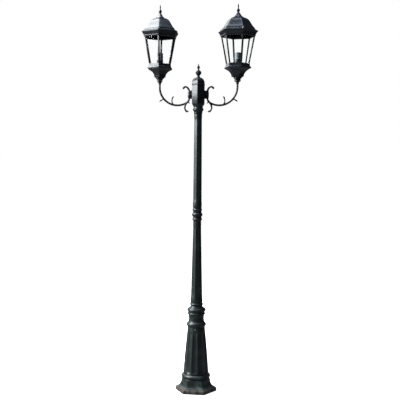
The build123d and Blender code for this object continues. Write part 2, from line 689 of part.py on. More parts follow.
def roof_finial_section():
    """Half section of the roof's spike, with its ball and the stud that holds it."""
    Polyline((0, ROOF_TOP - 14), (2.5, ROOF_TOP - 14), (2.5, ROOF_TOP), (9.5, ROOF_TOP), (9.5, ROOF_TOP + 2))
    Spline((9.5, ROOF_TOP + 2), (6, 2251), (9.8, 2262), (5, 2270), (3.6, 2276))
    Spline((3.6, 2276), (3.3, 2288), (1.2, LANTERN_TOP))
    Polyline((1.2, LANTERN_TOP), (0, LANTERN_TOP), (0, ROOF_TOP - 14))


def rib_outline(radius):
    """Angle section of a rib at its line's radius, with a tongue between the panes."""
    lean_x, lean_y = sin(radians(30)), TO_FLAT
    corner = radius + 4.5
    edge = (corner - RIB_LEAF * lean_x, RIB_LEAF * lean_y)
    back = (edge[0] - RIB_THICK * lean_y, edge[1] - RIB_THICK * lean_x)
    root = corner - RIB_THICK / TO_FLAT
    root_step = (root - 1.3 * lean_x / lean_y, 1.3)
    half = [(corner, 0), edge, back, root_step, (root - 6, 1.3)]
    return half + [(x, -y) for x, y in reversed(half[1:])]


def pane_outline(radius):
    """Section of a pane that stands just behind the ribs' leaves."""
    face = (radius + 4.5 - RIB_THICK / TO_FLAT) * TO_FLAT - 0.2
    half = face * tan(radians(30)) - 3.8
    return [(face, -half), (face, half), (face - GLASS_THICK, half), (face - GLASS_THICK, -half)]


def swept_up(outline, low_r, high_r, low, high):
    """A bar lofted between the same outline at two radii."""
    with BuildPart() as bar:
        with BuildSketch(Plane.XY.offset(low)):
            Polygon(*outline(low_r), align=None)
        with BuildSketch(Plane.XY.offset(high)):
            Polygon(*outline(high_r), align=None)
        loft(ruled=True)
    return bar.part


def six_of(part, x, direction):
    """Six copies of a part round a lantern's axis, as separate solids."""
    with BuildPart() as group:
        with Locations((x, 0)):
            with PolarLocations(0, 6, start_angle=direction):
                add(part)
    return group.part


def round_at(section, x):
    """A turned piece moved on to a lantern's axis."""
    return Pos(x, 0, 0) * turned(section)


def drilled(part, x, places, radius, depth):
    """A part with round vertical holes through it."""
    with BuildPart() as piece:
        add(part)
        with BuildSketch(Plane.XY.offset(depth[0])):
            with Locations(*[(x + px, py) for px, py in places]):
                Circle(radius)
        extrude(amount=depth[1] - depth[0], mode=Mode.SUBTRACT)
    return piece.part


ROOF_SCREW_R = 104.0
rib = swept_up(rib_outline, RIB_LOW_R, RIB_HIGH_R, GLASS_BASE, GLASS_TOP)
pane = swept_up(pane_outline, RIB_LOW_R, RIB_HIGH_R, GLASS_BASE, GLASS_TOP)


def lantern(side, x, direction):
    """Every piece of one lantern, turned so that a corner points in the given direction."""
    axis_hole = [(0, 0)]
    corners = [direction + 120 * k for k in range(3)]
    screw_places = [(ROOF_SCREW_R * cos(radians(a)), ROOF_SCREW_R * sin(radians(a))) for a in corners]

    save(round_at(cup_section, x), f"{side}_cup")
    set_faces = [outward(direction + 90 * k + 45, 18.6, 1850, x) for k in range(0, 4, 2)]
    save(screws(set_faces, 2.0, 0.4, 3.6, 2.0), f"{side}_set_screws")
    bowl = hexagon_of(bowl_section, 2000, direction, x)
    save(drilled(bowl, x, axis_hole, 5.1, (1870, 1880)), f"{side}_bowl")
    save(hexagon_of(rim_section, 2000, direction, x), f"{side}_lower_rim")
    save(six_of(rib, x, direction), f"{side}_ribs")
    save(six_of(pane, x, direction + 30), f"{side}_panes")
    cornice = hexagon_of(cornice_section, 2200, direction, x)
    save(drilled(cornice, x, screw_places, 2.4, (2122, 2140)), f"{side}_cornice")
    save(round_at(lambda: tube_section(1864, HOLDER_BASE + 6, 5.0, 3.6), x), f"{side}_stem")

    with BuildPart() as stem_nut:
        with BuildSketch(Plane.XY.offset(1877)):
            with Locations((x, 0)):
                RegularPolygon(10, 6)
                Circle(5.1, mode=Mode.SUBTRACT)
        extrude(amount=6)
    save(stem_nut.part, f"{side}_stem_nut")

    def holder_cap_section():
        """Half section of the lampholder's lower cap."""
        Polyline((5.1, HOLDER_BASE - 4), (12, HOLDER_BASE - 4), (HOLDER_R, HOLDER_BASE + 4), (HOLDER_R, 1972))
        Polyline((HOLDER_R, 1972), (15.5, 1972), (15.5, 1957), (5.1, 1957), (5.1, HOLDER_BASE - 4))

    def holder_section():
        """Half section of the lampholder's sleeve."""
        Polyline((3, 1972), (HOLDER_R, 1972), (HOLDER_R, 1977), (HOLDER_R - 0.8, 1978))
        Polyline((HOLDER_R - 0.8, 1978), (HOLDER_R - 0.8, HOLDER_TOP - 3))
        lip_r = HOLDER_R - 3.8
        lip = (lip_r, HOLDER_TOP)
        ThreePointArc((HOLDER_R - 0.8, HOLDER_TOP - 3), (HOLDER_R - 1.7, HOLDER_TOP - 0.9), lip)
        Polyline((lip_r, HOLDER_TOP), (E27_R + 1.2, HOLDER_TOP), (E27_R + 1.2, 1978), (3, 1978), (3, 1972))

    def shell_section():
        """Half section of the brass screw shell."""
        Polyline((E27_R, 1984), (E27_R + 1.0, 1984), (E27_R + 1.0, HOLDER_TOP - 3), (E27_R, HOLDER_TOP - 3))
        Polyline((E27_R, HOLDER_TOP - 3), (E27_R, 1984))

    save(round_at(holder_cap_section, x), f"{side}_lampholder_cap")
    save(round_at(holder_section, x), f"{side}_lampholder")
    save(round_at(shell_section, x), f"{side}_screw_shell")
    with BuildPart() as contact:
        with BuildSketch(Plane.XY.offset(1978)):
            with Locations((x, 0)):
                Rectangle(16, 6)
        extrude(amount=0.8)
        with BuildSketch(Plane.XY.offset(1978.8)):
            with Locations((x, 0)):
                Circle(3)
        extrude(amount=3)
    save(contact.part, f"{side}_centre_contact")

    roof = hexagon_of(roof_section, 2300, direction, x)
    roof = drilled(roof, x, axis_hole, 2.6, (2230, 2250))
    roof = drilled(roof, x, screw_places, 2.2, (2130, 2160))
    with BuildPart() as seated:
        add(roof)
        with BuildSketch(Plane.XY.offset(2146)):
            with Locations(*[(x + px, py) for px, py in screw_places]):
                Circle(5.4)
        extrude(amount=8, mode=Mode.SUBTRACT)
    save(seated.part, f"{side}_roof")
    save(round_at(roof_finial_section, x), f"{side}_roof_finial")
    with BuildPart() as roof_screws:
        for px, py in screw_places:
            with BuildSketch(Plane.XY.offset(2126)):
                with Locations((x + px, py)):
                    Circle(2.0)
            extrude(amount=20)
            with BuildSketch(Plane.XY.offset(2146)):
                with Locations((x + px, py)):
                    RegularPolygon(5, 6)
            extrude(amount=4)
            with Locations((x + px, py, 2150)):
                Sphere(4.2, arc_size1=0)
    save(roof_screws.part, f"{side}_roof_screws")


lantern("left", -LANTERN_X, LEFT_TURN)
lantern("right", LANTERN_X, RIGHT_TURN)
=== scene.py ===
import json
import logging
import math
from dataclasses import dataclass, field
from enum import Enum
from typing import Callable, Iterable, Sequence

import bpy
from mathutils import Matrix, Vector


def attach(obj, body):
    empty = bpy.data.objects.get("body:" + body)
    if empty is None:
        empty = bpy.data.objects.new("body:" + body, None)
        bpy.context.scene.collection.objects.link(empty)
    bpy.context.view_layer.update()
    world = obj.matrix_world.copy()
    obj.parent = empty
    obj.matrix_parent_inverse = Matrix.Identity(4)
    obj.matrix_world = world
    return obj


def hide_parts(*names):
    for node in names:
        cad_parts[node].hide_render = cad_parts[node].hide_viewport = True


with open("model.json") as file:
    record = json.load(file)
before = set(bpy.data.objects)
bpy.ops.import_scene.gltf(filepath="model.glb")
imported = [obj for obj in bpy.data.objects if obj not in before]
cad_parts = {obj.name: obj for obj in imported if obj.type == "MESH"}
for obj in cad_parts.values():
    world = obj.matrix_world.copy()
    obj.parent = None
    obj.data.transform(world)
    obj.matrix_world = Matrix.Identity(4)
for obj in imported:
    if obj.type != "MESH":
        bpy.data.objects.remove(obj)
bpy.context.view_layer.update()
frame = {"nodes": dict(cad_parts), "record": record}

log = logging.getLogger("lamp_post")

MM = 0.001
MERGE = 0.00001  # metres; points closer than this are one
Triple = tuple[float, float, float]
Colour = Triple
Station = tuple[float, float]


class Side(Enum):
    """Which of the two lanterns and arms."""

    LEFT = "left"
    RIGHT = "right"

    @property
    def sign(self) -> int:
        """Direction of the side along X."""
        return -1 if self is Side.LEFT else 1


class Outline(Enum):
    """Plan shape of a moulding."""

    ROUND = 0
    SIX = 6
    EIGHT = 8


class Slot(Enum):
    """Material slots of the record."""

    PAINT = "dark_green_paint"
    GLASS = "clear_glass"
    BRASS = "brass_parts"
    CERAMIC = "pale_ceramic"
    PLASTIC = "dark_plastic"
    SHEATH = "lead_sheath"
    STEEL = "zinc_steel"


# ---- finishes -----------------------------------------------------------------------------------
class Nodes:
    """Short hand for building a material's node tree."""

    def __init__(self, name: str) -> None:
        """Start an empty tree with its output.

        Args:
            name: the material's name.
        """
        self.material = bpy.data.materials.new(name)
        self.material.use_nodes = True
        self.tree = self.material.node_tree
        self.tree.nodes.clear()
        self.output = self.add("ShaderNodeOutputMaterial")
        self.position = self.add("ShaderNodeTexCoord").outputs["Object"]

    def add(self, kind: str, **settings: object) -> bpy.types.Node:
        """Add a node and set its properties.

        Args:
            kind: the node's type name.
            settings: properties by name.

        Returns:
            The node.
        """
        node = self.tree.nodes.new(kind)
        for key, value in settings.items():
            setattr(node, key, value)
        return node

    def link(self, source: bpy.types.NodeSocket, target: bpy.types.NodeSocket) -> None:
        """Join two sockets."""
        self.tree.links.new(source, target)

    def noise(self, scale: float, detail: float = 4.0, rough: float = 0.55,
              stretch: Triple = (1.0, 1.0, 1.0)) -> bpy.types.NodeSocket:
        """Noise over the object's own coordinates.

        Args:
            scale: cells per metre.
            detail: octaves.
            rough: roughness of the octaves.
            stretch: scale of each axis before the noise.

        Returns:
            The noise value's socket.
        """
        mapping = self.add("ShaderNodeMapping")
        mapping.inputs["Scale"].default_value = stretch
        self.link(self.position, mapping.inputs["Vector"])
        node = self.add("ShaderNodeTexNoise")
        node.inputs["Scale"].default_value = scale
        node.inputs["Detail"].default_value = detail
        node.inputs["Roughness"].default_value = rough
        self.link(mapping.outputs["Vector"], node.inputs["Vector"])
        return node.outputs["Fac"]

    def spread(self, value: bpy.types.NodeSocket, low: float, high: float,
               to_low: float = 0.0, to_high: float = 1.0) -> bpy.types.NodeSocket:
        """Map one range of a value on to another, clamped and eased.

        Args:
            value: the socket to map.
            low: value that maps to to_low.
            high: value that maps to to_high.
            to_low: result at low.
            to_high: result at high.

        Returns:
            The mapped socket.
        """
        node = self.add("ShaderNodeMapRange", interpolation_type="SMOOTHSTEP")
        for name, number in (("From Min", low), ("From Max", high), ("To Min", to_low), ("To Max", to_high)):
            node.inputs[name].default_value = number
        self.link(value, node.inputs["Value"])
        return node.outputs["Result"]

    def times(self, a: bpy.types.NodeSocket, b: bpy.types.NodeSocket) -> bpy.types.NodeSocket:
        """Multiply two sockets.

        Args:
            a: one factor.
            b: the other factor.

        Returns:
            The product's socket.
        """
        node = self.add("ShaderNodeMath", operation="MULTIPLY")
        self.link(a, node.inputs[0])
        self.link(b, node.inputs[1])
        return node.outputs[0]

    def mixed(self, share: bpy.types.NodeSocket, first: object, second: Colour) -> bpy.types.NodeSocket:
        """Blend two colours, or a colour socket and a colour.

        Args:
            share: how much of the second colour.
            first: a colour or a colour socket.
            second: the other colour.

        Returns:
            The blended colour's socket.
        """
        node = self.add("ShaderNodeMix", data_type="RGBA")
        self.link(share, node.inputs["Factor"])
        if isinstance(first, bpy.types.NodeSocket):
            self.link(first, node.inputs[6])
        else:
            node.inputs[6].default_value = (*first, 1.0)
        node.inputs[7].default_value = (*second, 1.0)
        return node.outputs[2]

    def bump(self, heights: Iterable[tuple[bpy.types.NodeSocket, float]]) -> bpy.types.NodeSocket:
        """Stack bumps of several heights.

        Args:
            heights: a value and its depth in metres, coarse first.

        Returns:
            The normal's socket.
        """
        normal = None
        for value, depth in heights:
            node = self.add("ShaderNodeBump")
            node.inputs["Distance"].default_value = depth
            self.link(value, node.inputs["Height"])
            if normal is not None:
                self.link(normal, node.inputs["Normal"])
            normal = node.outputs["Normal"]
        return normal

    def close(self, shader: bpy.types.NodeSocket) -> bpy.types.Material:
        """Send a shader to the output and return the material."""
        self.link(shader, self.output.inputs["Surface"])
        return self.material


@dataclass(frozen=True)
class CastPaint:
    """Dark green-black paint over a sand casting, dusty and verdigrised where weather reaches it, optionally
    paler at the bottom, part dust and part painted highlight.

    Args:
        name: the material's name.
        paint: the sound paint.
        bloom: the chalky green bloom.
        dust: the pale brown dust and wear.
        bloom_share: how far the bloom spreads, 0 to 1.
        dust_share: how far the dust spreads, 0 to 1.
        gloss: lowest roughness.
        hem: height in metres below which a pale band lies, part gathered dust and part painted highlight of
            the plinth's roll.
        hem_share: how strong that pale band of dust and painted highlight is, 0 to 1.
        hem_tone: its tone as a share of the dust's.
        sheen: specular level of the paint.
        coat: strength of the clear coat.
        coat_rough: roughness of the clear coat.
    """

    name: str
    paint: Colour = (0.0055, 0.0085, 0.0105)
    bloom: Colour = (0.050, 0.085, 0.075)
    dust: Colour = (0.22, 0.185, 0.15)
    bloom_share: float = 0.22
    dust_share: float = 0.05
    gloss: float = 0.22
    hem: float = 0.0
    hem_share: float = 0.75
    hem_tone: float = 0.55
    sheen: float = 0.42
    coat: float = 0.15
    coat_rough: float = 0.14

    def build(self) -> bpy.types.Material:
        """Make the material.

        Returns:
            The new material.
        """
        nodes = Nodes(self.name)
        shader = nodes.add("ShaderNodeBsdfPrincipled")
        cloud = nodes.noise(14.0, 5.0, 0.6)
        runs = nodes.noise(30.0, 4.0, 0.6, (1.0, 1.0, 0.12))
        speck = nodes.noise(260.0, 3.0, 0.6)
        grain = nodes.noise(900.0, 2.0, 0.5)
        blooming = nodes.spread(cloud, 0.46, 0.72, 0.0, self.bloom_share)
        bloom = nodes.times(blooming, nodes.spread(runs, 0.35, 0.65))
        dusting = nodes.spread(speck, 0.50, 0.72, 0.0, self.dust_share)
        dust = nodes.times(dusting, nodes.spread(cloud, 0.3, 0.6))
        # Pale band towards the bottom, below hem: part gathered dust, part painted highlight of the plinth's
        # rolled edge.
        split = nodes.add("ShaderNodeSeparateXYZ")
        nodes.link(nodes.position, split.inputs[0])
        below = nodes.spread(split.outputs["Z"], self.hem, self.hem * 0.6, 0.0, self.hem_share)
        low = nodes.times(below, nodes.spread(runs, 0.35, 0.6))
        sound = nodes.mixed(bloom, self.paint, self.bloom)
        dust_and_highlight_tone = tuple(self.hem_tone * c for c in self.dust)
        colour = nodes.mixed(low, nodes.mixed(dust, sound, self.dust), dust_and_highlight_tone)
        nodes.link(colour, shader.inputs["Base Color"])
        nodes.link(nodes.spread(speck, 0.3, 0.75, self.gloss, self.gloss + 0.2), shader.inputs["Roughness"])
        shader.inputs["Specular IOR Level"].default_value = self.sheen
        shader.inputs["Coat Weight"].default_value = self.coat
        shader.inputs["Coat Roughness"].default_value = self.coat_rough
        nodes.link(nodes.bump([(cloud, 0.0005), (speck, 0.00009), (grain, 0.00003)]), shader.inputs["Normal"])
        return nodes.close(shader.outputs[0])


@dataclass(frozen=True)
class Metal:
    """Bare or plated metal with handling marks.

    Args:
        name: the material's name.
        bright: the clean colour.
        dull: the tarnished colour.
        rough: middle roughness.
    """

    name: str
    bright: Colour
    dull: Colour
    rough: float = 0.35

    def build(self) -> bpy.types.Material:
        """Make the material.

        Returns:
            The new material.
        """
        nodes = Nodes(self.name)
        shader = nodes.add("ShaderNodeBsdfPrincipled")
        marks = nodes.noise(220.0, 4.0, 0.6)
        brush = nodes.noise(500.0, 2.0, 0.5, (1.0, 1.0, 0.1))
        colour = nodes.mixed(nodes.spread(marks, 0.4, 0.7), self.bright, self.dull)
        nodes.link(colour, shader.inputs["Base Color"])
        rough = nodes.spread(brush, 0.3, 0.7, self.rough - 0.1, self.rough + 0.15)
        nodes.link(rough, shader.inputs["Roughness"])
        shader.inputs["Metallic"].default_value = 1.0
        nodes.link(nodes.bump([(marks, 0.0002), (brush, 0.00006)]), shader.inputs["Normal"])
        return nodes.close(shader.outputs[0])


@dataclass(frozen=True)
class Moulded:
    """Porcelain, plastic or rubber, with faint mottling.

    Args:
        name: the material's name.
        body: main colour.
        shade: colour of the mottling.
        rough: middle roughness.
        coat: strength of a glaze.
        coat_rough: roughness of the glaze.
    """

    name: str
    body: Colour
    shade: Colour
    rough: float
    coat: float = 0.0
    coat_rough: float = 0.06

    def build(self) -> bpy.types.Material:
        """Make the material.

        Returns:
            The new material.
        """
        nodes = Nodes(self.name)
        shader = nodes.add("ShaderNodeBsdfPrincipled")
        mottle = nodes.noise(120.0, 4.0, 0.6)
        grain = nodes.noise(1500.0, 2.0, 0.5)
        colour = nodes.mixed(nodes.spread(mottle, 0.4, 0.7), self.body, self.shade)
        nodes.link(colour, shader.inputs["Base Color"])
        rough = nodes.spread(mottle, 0.3, 0.7, self.rough - 0.05, self.rough + 0.08)
        nodes.link(rough, shader.inputs["Roughness"])
        shader.inputs["Coat Weight"].default_value = self.coat
        shader.inputs["Coat Roughness"].default_value = self.coat_rough
        nodes.link(nodes.bump([(mottle, 0.0002), (grain, 0.00003)]), shader.inputs["Normal"])
        return nodes.close(shader.outputs[0])


@dataclass(frozen=True)
class ClearPane:
    """Thin clear glass with a faint film of dust.

    Args:
        name: the material's name.
        tint: colour of the light that passes.
        film: colour of the dust film.
        film_share: how thick the film is where it shows most, 0 to 1.
        face_shine: share of light mirrored face on.
        edge_shine: share of light mirrored at a glancing view.
        rough: roughness of the mirroring.
    """

    name: str
    tint: Colour = (0.994, 0.999, 0.997)
    film: Colour = (0.75, 0.8, 0.78)
    film_share: float = 0.015
    face_shine: float = 0.003
    edge_shine: float = 0.1
    rough: float = 0.03

    def build(self) -> bpy.types.Material:
        """Make the material.

        Returns:
            The new material.
        """
        nodes = Nodes(self.name)
        clear = nodes.add("ShaderNodeBsdfTransparent")
        clear.inputs["Color"].default_value = (*self.tint, 1.0)
        gloss = nodes.add("ShaderNodeBsdfGlossy")
        gloss.inputs["Roughness"].default_value = self.rough
        graze = nodes.add("ShaderNodeLayerWeight")
        graze.inputs["Blend"].default_value = 0.5
        pane = nodes.add("ShaderNodeMixShader")
        shine = nodes.spread(graze.outputs["Facing"], 0.5, 1.0, self.face_shine, self.edge_shine)
        nodes.link(shine, pane.inputs["Fac"])
        nodes.link(clear.outputs[0], pane.inputs[1])
        nodes.link(gloss.outputs[0], pane.inputs[2])
        dusty = nodes.add("ShaderNodeBsdfDiffuse")
        dusty.inputs["Color"].default_value = (*self.film, 1.0)
        whole = nodes.add("ShaderNodeMixShader")
        film = nodes.spread(nodes.noise(35.0, 6.0, 0.65), 0.45, 0.8, 0.0, self.film_share)
        nodes.link(film, whole.inputs["Fac"])
        nodes.link(pane.outputs[0], whole.inputs[1])
        nodes.link(dusty.outputs[0], whole.inputs[2])
        return nodes.close(whole.outputs[0])


@dataclass(frozen=True)
class Paving:
    """Pale plain floor.

    Args:
        name: the material's name.
        tone: its colour.
        bounce: share of its tone that lights the post.
        worn: tone of its faint mottling, as a share of the tone.
        rough: roughness.
    """

    name: str
    tone: Colour = (0.94, 0.94, 0.935)
    bounce: float = 0.15
    worn: float = 0.97
    rough: float = 0.85

    def build(self) -> bpy.types.Material:
        """Make the material.

        Returns:
            The new material.
        """
        nodes = Nodes(self.name)
        shader = nodes.add("ShaderNodeBsdfPrincipled")
        mottled = nodes.mixed(nodes.noise(3.0), self.tone, tuple(self.worn * c for c in self.tone))
        nodes.link(mottled, shader.inputs["Base Color"])
        shader.inputs["Roughness"].default_value = self.rough
        shader.inputs["Emission Color"].default_value = (*self.tone, 1.0)
        shader.inputs["Emission Strength"].default_value = 1.0
        dim = nodes.add("ShaderNodeBsdfDiffuse")
        dim.inputs["Color"].default_value = (*(self.bounce * c for c in self.tone), 1.0)
        seen = nodes.add("ShaderNodeMixShader")
        nodes.link(nodes.add("ShaderNodeLightPath").outputs["Is Camera Ray"], seen.inputs[0])
        nodes.link(dim.outputs[0], seen.inputs[1])
        nodes.link(shader.outputs[0], seen.inputs[2])
        return nodes.close(seen.outputs[0])


@dataclass
class Palette:
    """Every finish on the lamp post, built once and shared."""

    column: bpy.types.Material = field(init=False)
    pole: bpy.types.Material = field(init=False)
    foot: bpy.types.Material = field(init=False)
    lantern: bpy.types.Material = field(init=False)
    steel: bpy.types.Material = field(init=False)
    brass: bpy.types.Material = field(init=False)
    ceramic: bpy.types.Material = field(init=False)
    plastic: bpy.types.Material = field(init=False)
    rubber: bpy.types.Material = field(init=False)
    glass: bpy.types.Material = field(init=False)

    def __post_init__(self) -> None:
        """Build the materials."""
        self.column = CastPaint("column_paint").build()
        self.pole = CastPaint(
            "pole_paint", paint=(0.005, 0.0105, 0.0105), bloom_share=0.45, gloss=0.32,
        ).build()
        # The foot's hem band below 35 mm is paler: part dust, part painted highlight of the plinth's roll.
        self.foot = CastPaint(
            "foot_paint", paint=(0.006, 0.011, 0.0115), bloom=(0.07, 0.12, 0.105), bloom_share=0.9,
            dust_share=0.3, gloss=0.3, hem=0.035,
        ).build()
        self.lantern = CastPaint(
            "lantern_paint", paint=(0.005, 0.0065, 0.0105), bloom_share=0.15, gloss=0.2,
        ).build()
        self.steel = Metal("zinc_steel", (0.55, 0.56, 0.57), (0.30, 0.31, 0.33)).build()
        self.brass = Metal("lamp_brass", (0.75, 0.55, 0.25), (0.42, 0.28, 0.12), 0.3).build()
        self.ceramic = Moulded("grey_porcelain", (0.20, 0.235, 0.27), (0.13, 0.155, 0.18), 0.35, 0.4).build()
        self.plastic = Moulded("black_phenolic", (0.03, 0.032, 0.036), (0.02, 0.02, 0.024), 0.35).build()
        self.rubber = Moulded("lead_rubber", (0.022, 0.022, 0.024), (0.035, 0.034, 0.033), 0.6).build()
        self.glass = ClearPane("clear_pane").build()

    def of_slot(self, slot: Slot) -> bpy.types.Material:
        """Choose the finish for one of the record's material slots.

        Args:
            slot: the material slot.

        Returns:
            The slot's usual finish.
        """
        return {
            Slot.PAINT: self.column, Slot.GLASS: self.glass, Slot.BRASS: self.brass,
            Slot.CERAMIC: self.ceramic, Slot.PLASTIC: self.plastic, Slot.SHEATH: self.rubber,
            Slot.STEEL: self.steel,
        }[slot]


# ---- modelling ----------------------------------------------------------------------------------
def deselect_all() -> None:
    """Leave nothing selected, in object mode."""
    if bpy.context.object is not None and bpy.context.object.mode != "OBJECT":
        bpy.ops.object.mode_set(mode="OBJECT")
    bpy.ops.object.select_all(action="DESELECT")


def curved(*points: Station, steps: int = 5) -> list[Station]:
    """A smooth run through some stations.

    Args:
        points: the stations the run passes through.
        steps: pieces between two stations.

    Returns:
        Stations along the run, both ends included.
    """
    padded = [points[0], *points, points[-1]]
    run = []
    for a, b, c, d in zip(padded, padded[1:], padded[2:], padded[3:]):
        for step in range(steps):
            t = step / steps
            run.append(tuple(
                0.5 * (2 * q + (r - p) * t + (2 * p - 5 * q + 4 * r - s) * t ** 2
                       + (3 * q - p - 3 * r + s) * t ** 3)
                for p, q, r, s in zip(a, b, c, d)
            ))
    return [*run, points[-1]]


def close_start(piece: bpy.types.Object, around: int) -> None:
    """Fill the first ring of an extruded piece and leave it in object mode.

    Args:
        piece: the object, whose first points are that ring.
        around: points in the ring.
    """
    bpy.ops.object.mode_set(mode="EDIT")
    bpy.ops.mesh.select_all(action="DESELECT")
    bpy.ops.object.mode_set(mode="OBJECT")
    for vertex in piece.data.vertices[:around]:
        vertex.select = True
    bpy.ops.object.mode_set(mode="EDIT")
    bpy.ops.mesh.edge_face_add()
    bpy.ops.object.mode_set(mode="OBJECT")


def finish_mesh(piece: bpy.types.Object, bevel: float, angle: float = 32.0) -> bpy.types.Object:
    """Merge, turn outwards, ease the edges, place at the origin and smooth a piece.

    Args:
        piece: the object to finish.
        bevel: width of the eased edges in millimetres, 0 for none.
        angle: edges sharper than this are eased and stay crisp, in degrees.

    Returns:
        The same object.
    """
    deselect_all()
    piece.select_set(True)
    bpy.context.view_layer.objects.active = piece
    bpy.ops.object.transform_apply(location=True, rotation=True, scale=True)
    bpy.ops.object.mode_set(mode="EDIT")
    bpy.ops.mesh.select_all(action="SELECT")
    bpy.ops.mesh.remove_doubles(threshold=MERGE)
    bpy.ops.mesh.normals_make_consistent(inside=False)
    bpy.ops.object.mode_set(mode="OBJECT")
    if bevel:
        ease = piece.modifiers.new("ease", "BEVEL")
        ease.width = bevel * MM
        ease.segments = 2
        ease.limit_method = "ANGLE"
        ease.angle_limit = math.radians(angle)
        bpy.ops.object.modifier_apply(modifier="ease")
    bpy.ops.object.shade_smooth_by_angle(angle=math.radians(angle))
    return piece


@dataclass
class Moulding:
    """A casting whose section runs round an upright axis, in a round, six- or eight-sided plan.

    Args:
        name: the piece's name.
        stations: radius over the corners and height, in millimetres; a last station equal to the
            first closes a hollow shell.
        outline: plan shape.
        corner: direction of one corner, in degrees.
        x: the axis's place along X, in metres.
        sidedness: how far the plan is flat-sided at a height in millimetres, 0 to 1.
        around: points round the axis.
        bevel: width of the eased edges in millimetres.
        carve: optional change of a radius in millimetres at an angle and height.
    """

    name: str
    stations: Sequence[Station]
    outline: Outline = Outline.ROUND
    corner: float = 0.0
    x: float = 0.0
    sidedness: Callable[[float], float] = lambda z: 1.0
    around: int = 48
    bevel: float = 0.8
    carve: Callable[[float, float, float], float] | None = None

    def flatten(self, angle: float, z: float) -> float:
        """Work out how far in the flats lie.

        Args:
            angle: direction from the axis, in radians.
            z: height in millimetres.

        Returns:
            Share of the corner radius at that angle and height.
        """
        sides = self.outline.value
        if not sides:
            return 1.0
        pitch = 2 * math.pi / sides
        off = (angle - math.radians(self.corner)) % pitch - pitch / 2
        flat = math.cos(pitch / 2) / math.cos(off)
        return 1.0 + (flat - 1.0) * self.sidedness(z)

    def build(self) -> bpy.types.Object:
        """Raise the rings one from another, shape their plan and finish the mesh.

        Returns:
            The finished casting.
        """
        deselect_all()
        radius, height = self.stations[0]
        bpy.ops.mesh.primitive_circle_add(
            vertices=self.around, radius=radius * MM, location=(self.x, 0, height * MM),
            rotation=(0, 0, math.radians(self.corner)),
        )
        piece = bpy.context.object
        piece.name = piece.data.name = self.name
        bpy.ops.object.transform_apply(location=True, rotation=True, scale=True)
        bpy.ops.object.mode_set(mode="EDIT")
        bpy.ops.mesh.select_all(action="SELECT")
        for next_radius, next_height in self.stations[1:]:
            rise = (next_height - height) * MM
            bpy.ops.mesh.extrude_region_move(TRANSFORM_OT_translate={"value": (0, 0, rise)})
            share = next_radius / radius
            bpy.ops.transform.resize(value=(share, share, 1), center_override=(self.x, 0, next_height * MM))
            radius, height = next_radius, next_height
        if self.stations[-1] != self.stations[0]:
            bpy.ops.mesh.edge_face_add()
            close_start(piece, self.around)
        bpy.ops.object.mode_set(mode="OBJECT")
        for vertex in piece.data.vertices:
            dx, dy, z = vertex.co.x - self.x, vertex.co.y, vertex.co.z / MM
            angle, reach = math.atan2(dy, dx), math.hypot(dx, dy)
            wanted = reach * self.flatten(angle, z)
            if self.carve is not None:
                wanted = self.carve(angle, z, wanted / MM) * MM
            if reach > 0:
                vertex.co.x = self.x + dx * wanted / reach
                vertex.co.y = dy * wanted / reach
        return finish_mesh(piece, self.bevel)


@dataclass
class Softened:
    """A machined-looking CAD piece rebuilt with eased edges.

    Args:
        node: the CAD node to follow.
        bevel: width of the eased edges in millimetres.
        level: faces within this many degrees become one.
    """

    node: str
    bevel: float = 0.5
    level: float = 0.5

    def build(self) -> bpy.types.Object:
        """Copy the node's mesh, merge it, clear its flat faces and ease its edges.

        Returns:
            The finished copy.
        """
        source = frame["nodes"][self.node]
        deselect_all()
        mesh = source.data.copy()
        piece = bpy.data.objects.new(f"{self.node}_finished", mesh)
        bpy.context.scene.collection.objects.link(piece)
        mesh.materials.clear()
        piece.select_set(True)
        bpy.context.view_layer.objects.active = piece
        bpy.ops.mesh.customdata_custom_splitnormals_clear()
        bpy.ops.object.mode_set(mode="EDIT")
        bpy.ops.mesh.select_all(action="SELECT")
        bpy.ops.mesh.remove_doubles(threshold=MERGE)
        bpy.ops.mesh.dissolve_limited(angle_limit=math.radians(self.level))
        bpy.ops.object.mode_set(mode="OBJECT")
        return finish_mesh(piece, self.bevel)


@dataclass
class Horn:
    """A tapered bar along a smooth line, closed flat at both ends.

    Args:
        name: the piece's name.
        line: points of its centre-line in metres.
        thick: half thickness at even steps along the line, in millimetres.
        flat: width across the line's plane over thickness, at the same steps.
        around: points round the bar.
        crisp: edges sharper than this stay crisp, in degrees.
    """

    name: str
    line: Sequence[Vector]
    thick: Sequence[float]
    flat: Sequence[float]
    around: int = 20
    crisp: float = 50.0

    def sample(self, values: Sequence[float], share: float) -> float:
        """Read a value between even steps.

        Args:
            values: the values at even steps.
            share: how far along the line, 0 to 1.

        Returns:
            The value there.
        """
        place = share * (len(values) - 1)
        low = min(int(place), len(values) - 2)
        return values[low] + (values[low + 1] - values[low]) * (place - low)

    def build(self) -> bpy.types.Object:
        """Extrude a ring step by step along the line, then close both ends.

        Returns:
            The finished bar.
        """
        deselect_all()
        bpy.ops.mesh.primitive_circle_add(vertices=self.around, radius=MM)
        piece = bpy.context.object
        piece.name = piece.data.name = self.name
        bpy.ops.object.mode_set(mode="EDIT")
        bpy.ops.mesh.select_all(action="SELECT")
        for _ in self.line[1:]:
            bpy.ops.mesh.extrude_region_move(TRANSFORM_OT_translate={"value": (0, 0, MM)})
        bpy.ops.mesh.edge_face_add()
        bpy.ops.object.mode_set(mode="OBJECT")
        last = len(self.line) - 1
        for vertex in piece.data.vertices:
            step = round(vertex.co.z / MM)
            share = step / last
            ahead = (self.line[min(step + 1, last)] - self.line[max(step - 1, 0)]).normalized()
            across = Vector((0, 1, 0))
            up = ahead.cross(across).normalized()
            turn = math.atan2(vertex.co.y, vertex.co.x)
            half = self.sample(self.thick, share) * MM
            wide = half * self.sample(self.flat, share)
            vertex.co = self.line[step] + across * wide * math.cos(turn) + up * half * math.sin(turn)
        close_start(piece, self.around)
        return finish_mesh(piece, 0.0, self.crisp)


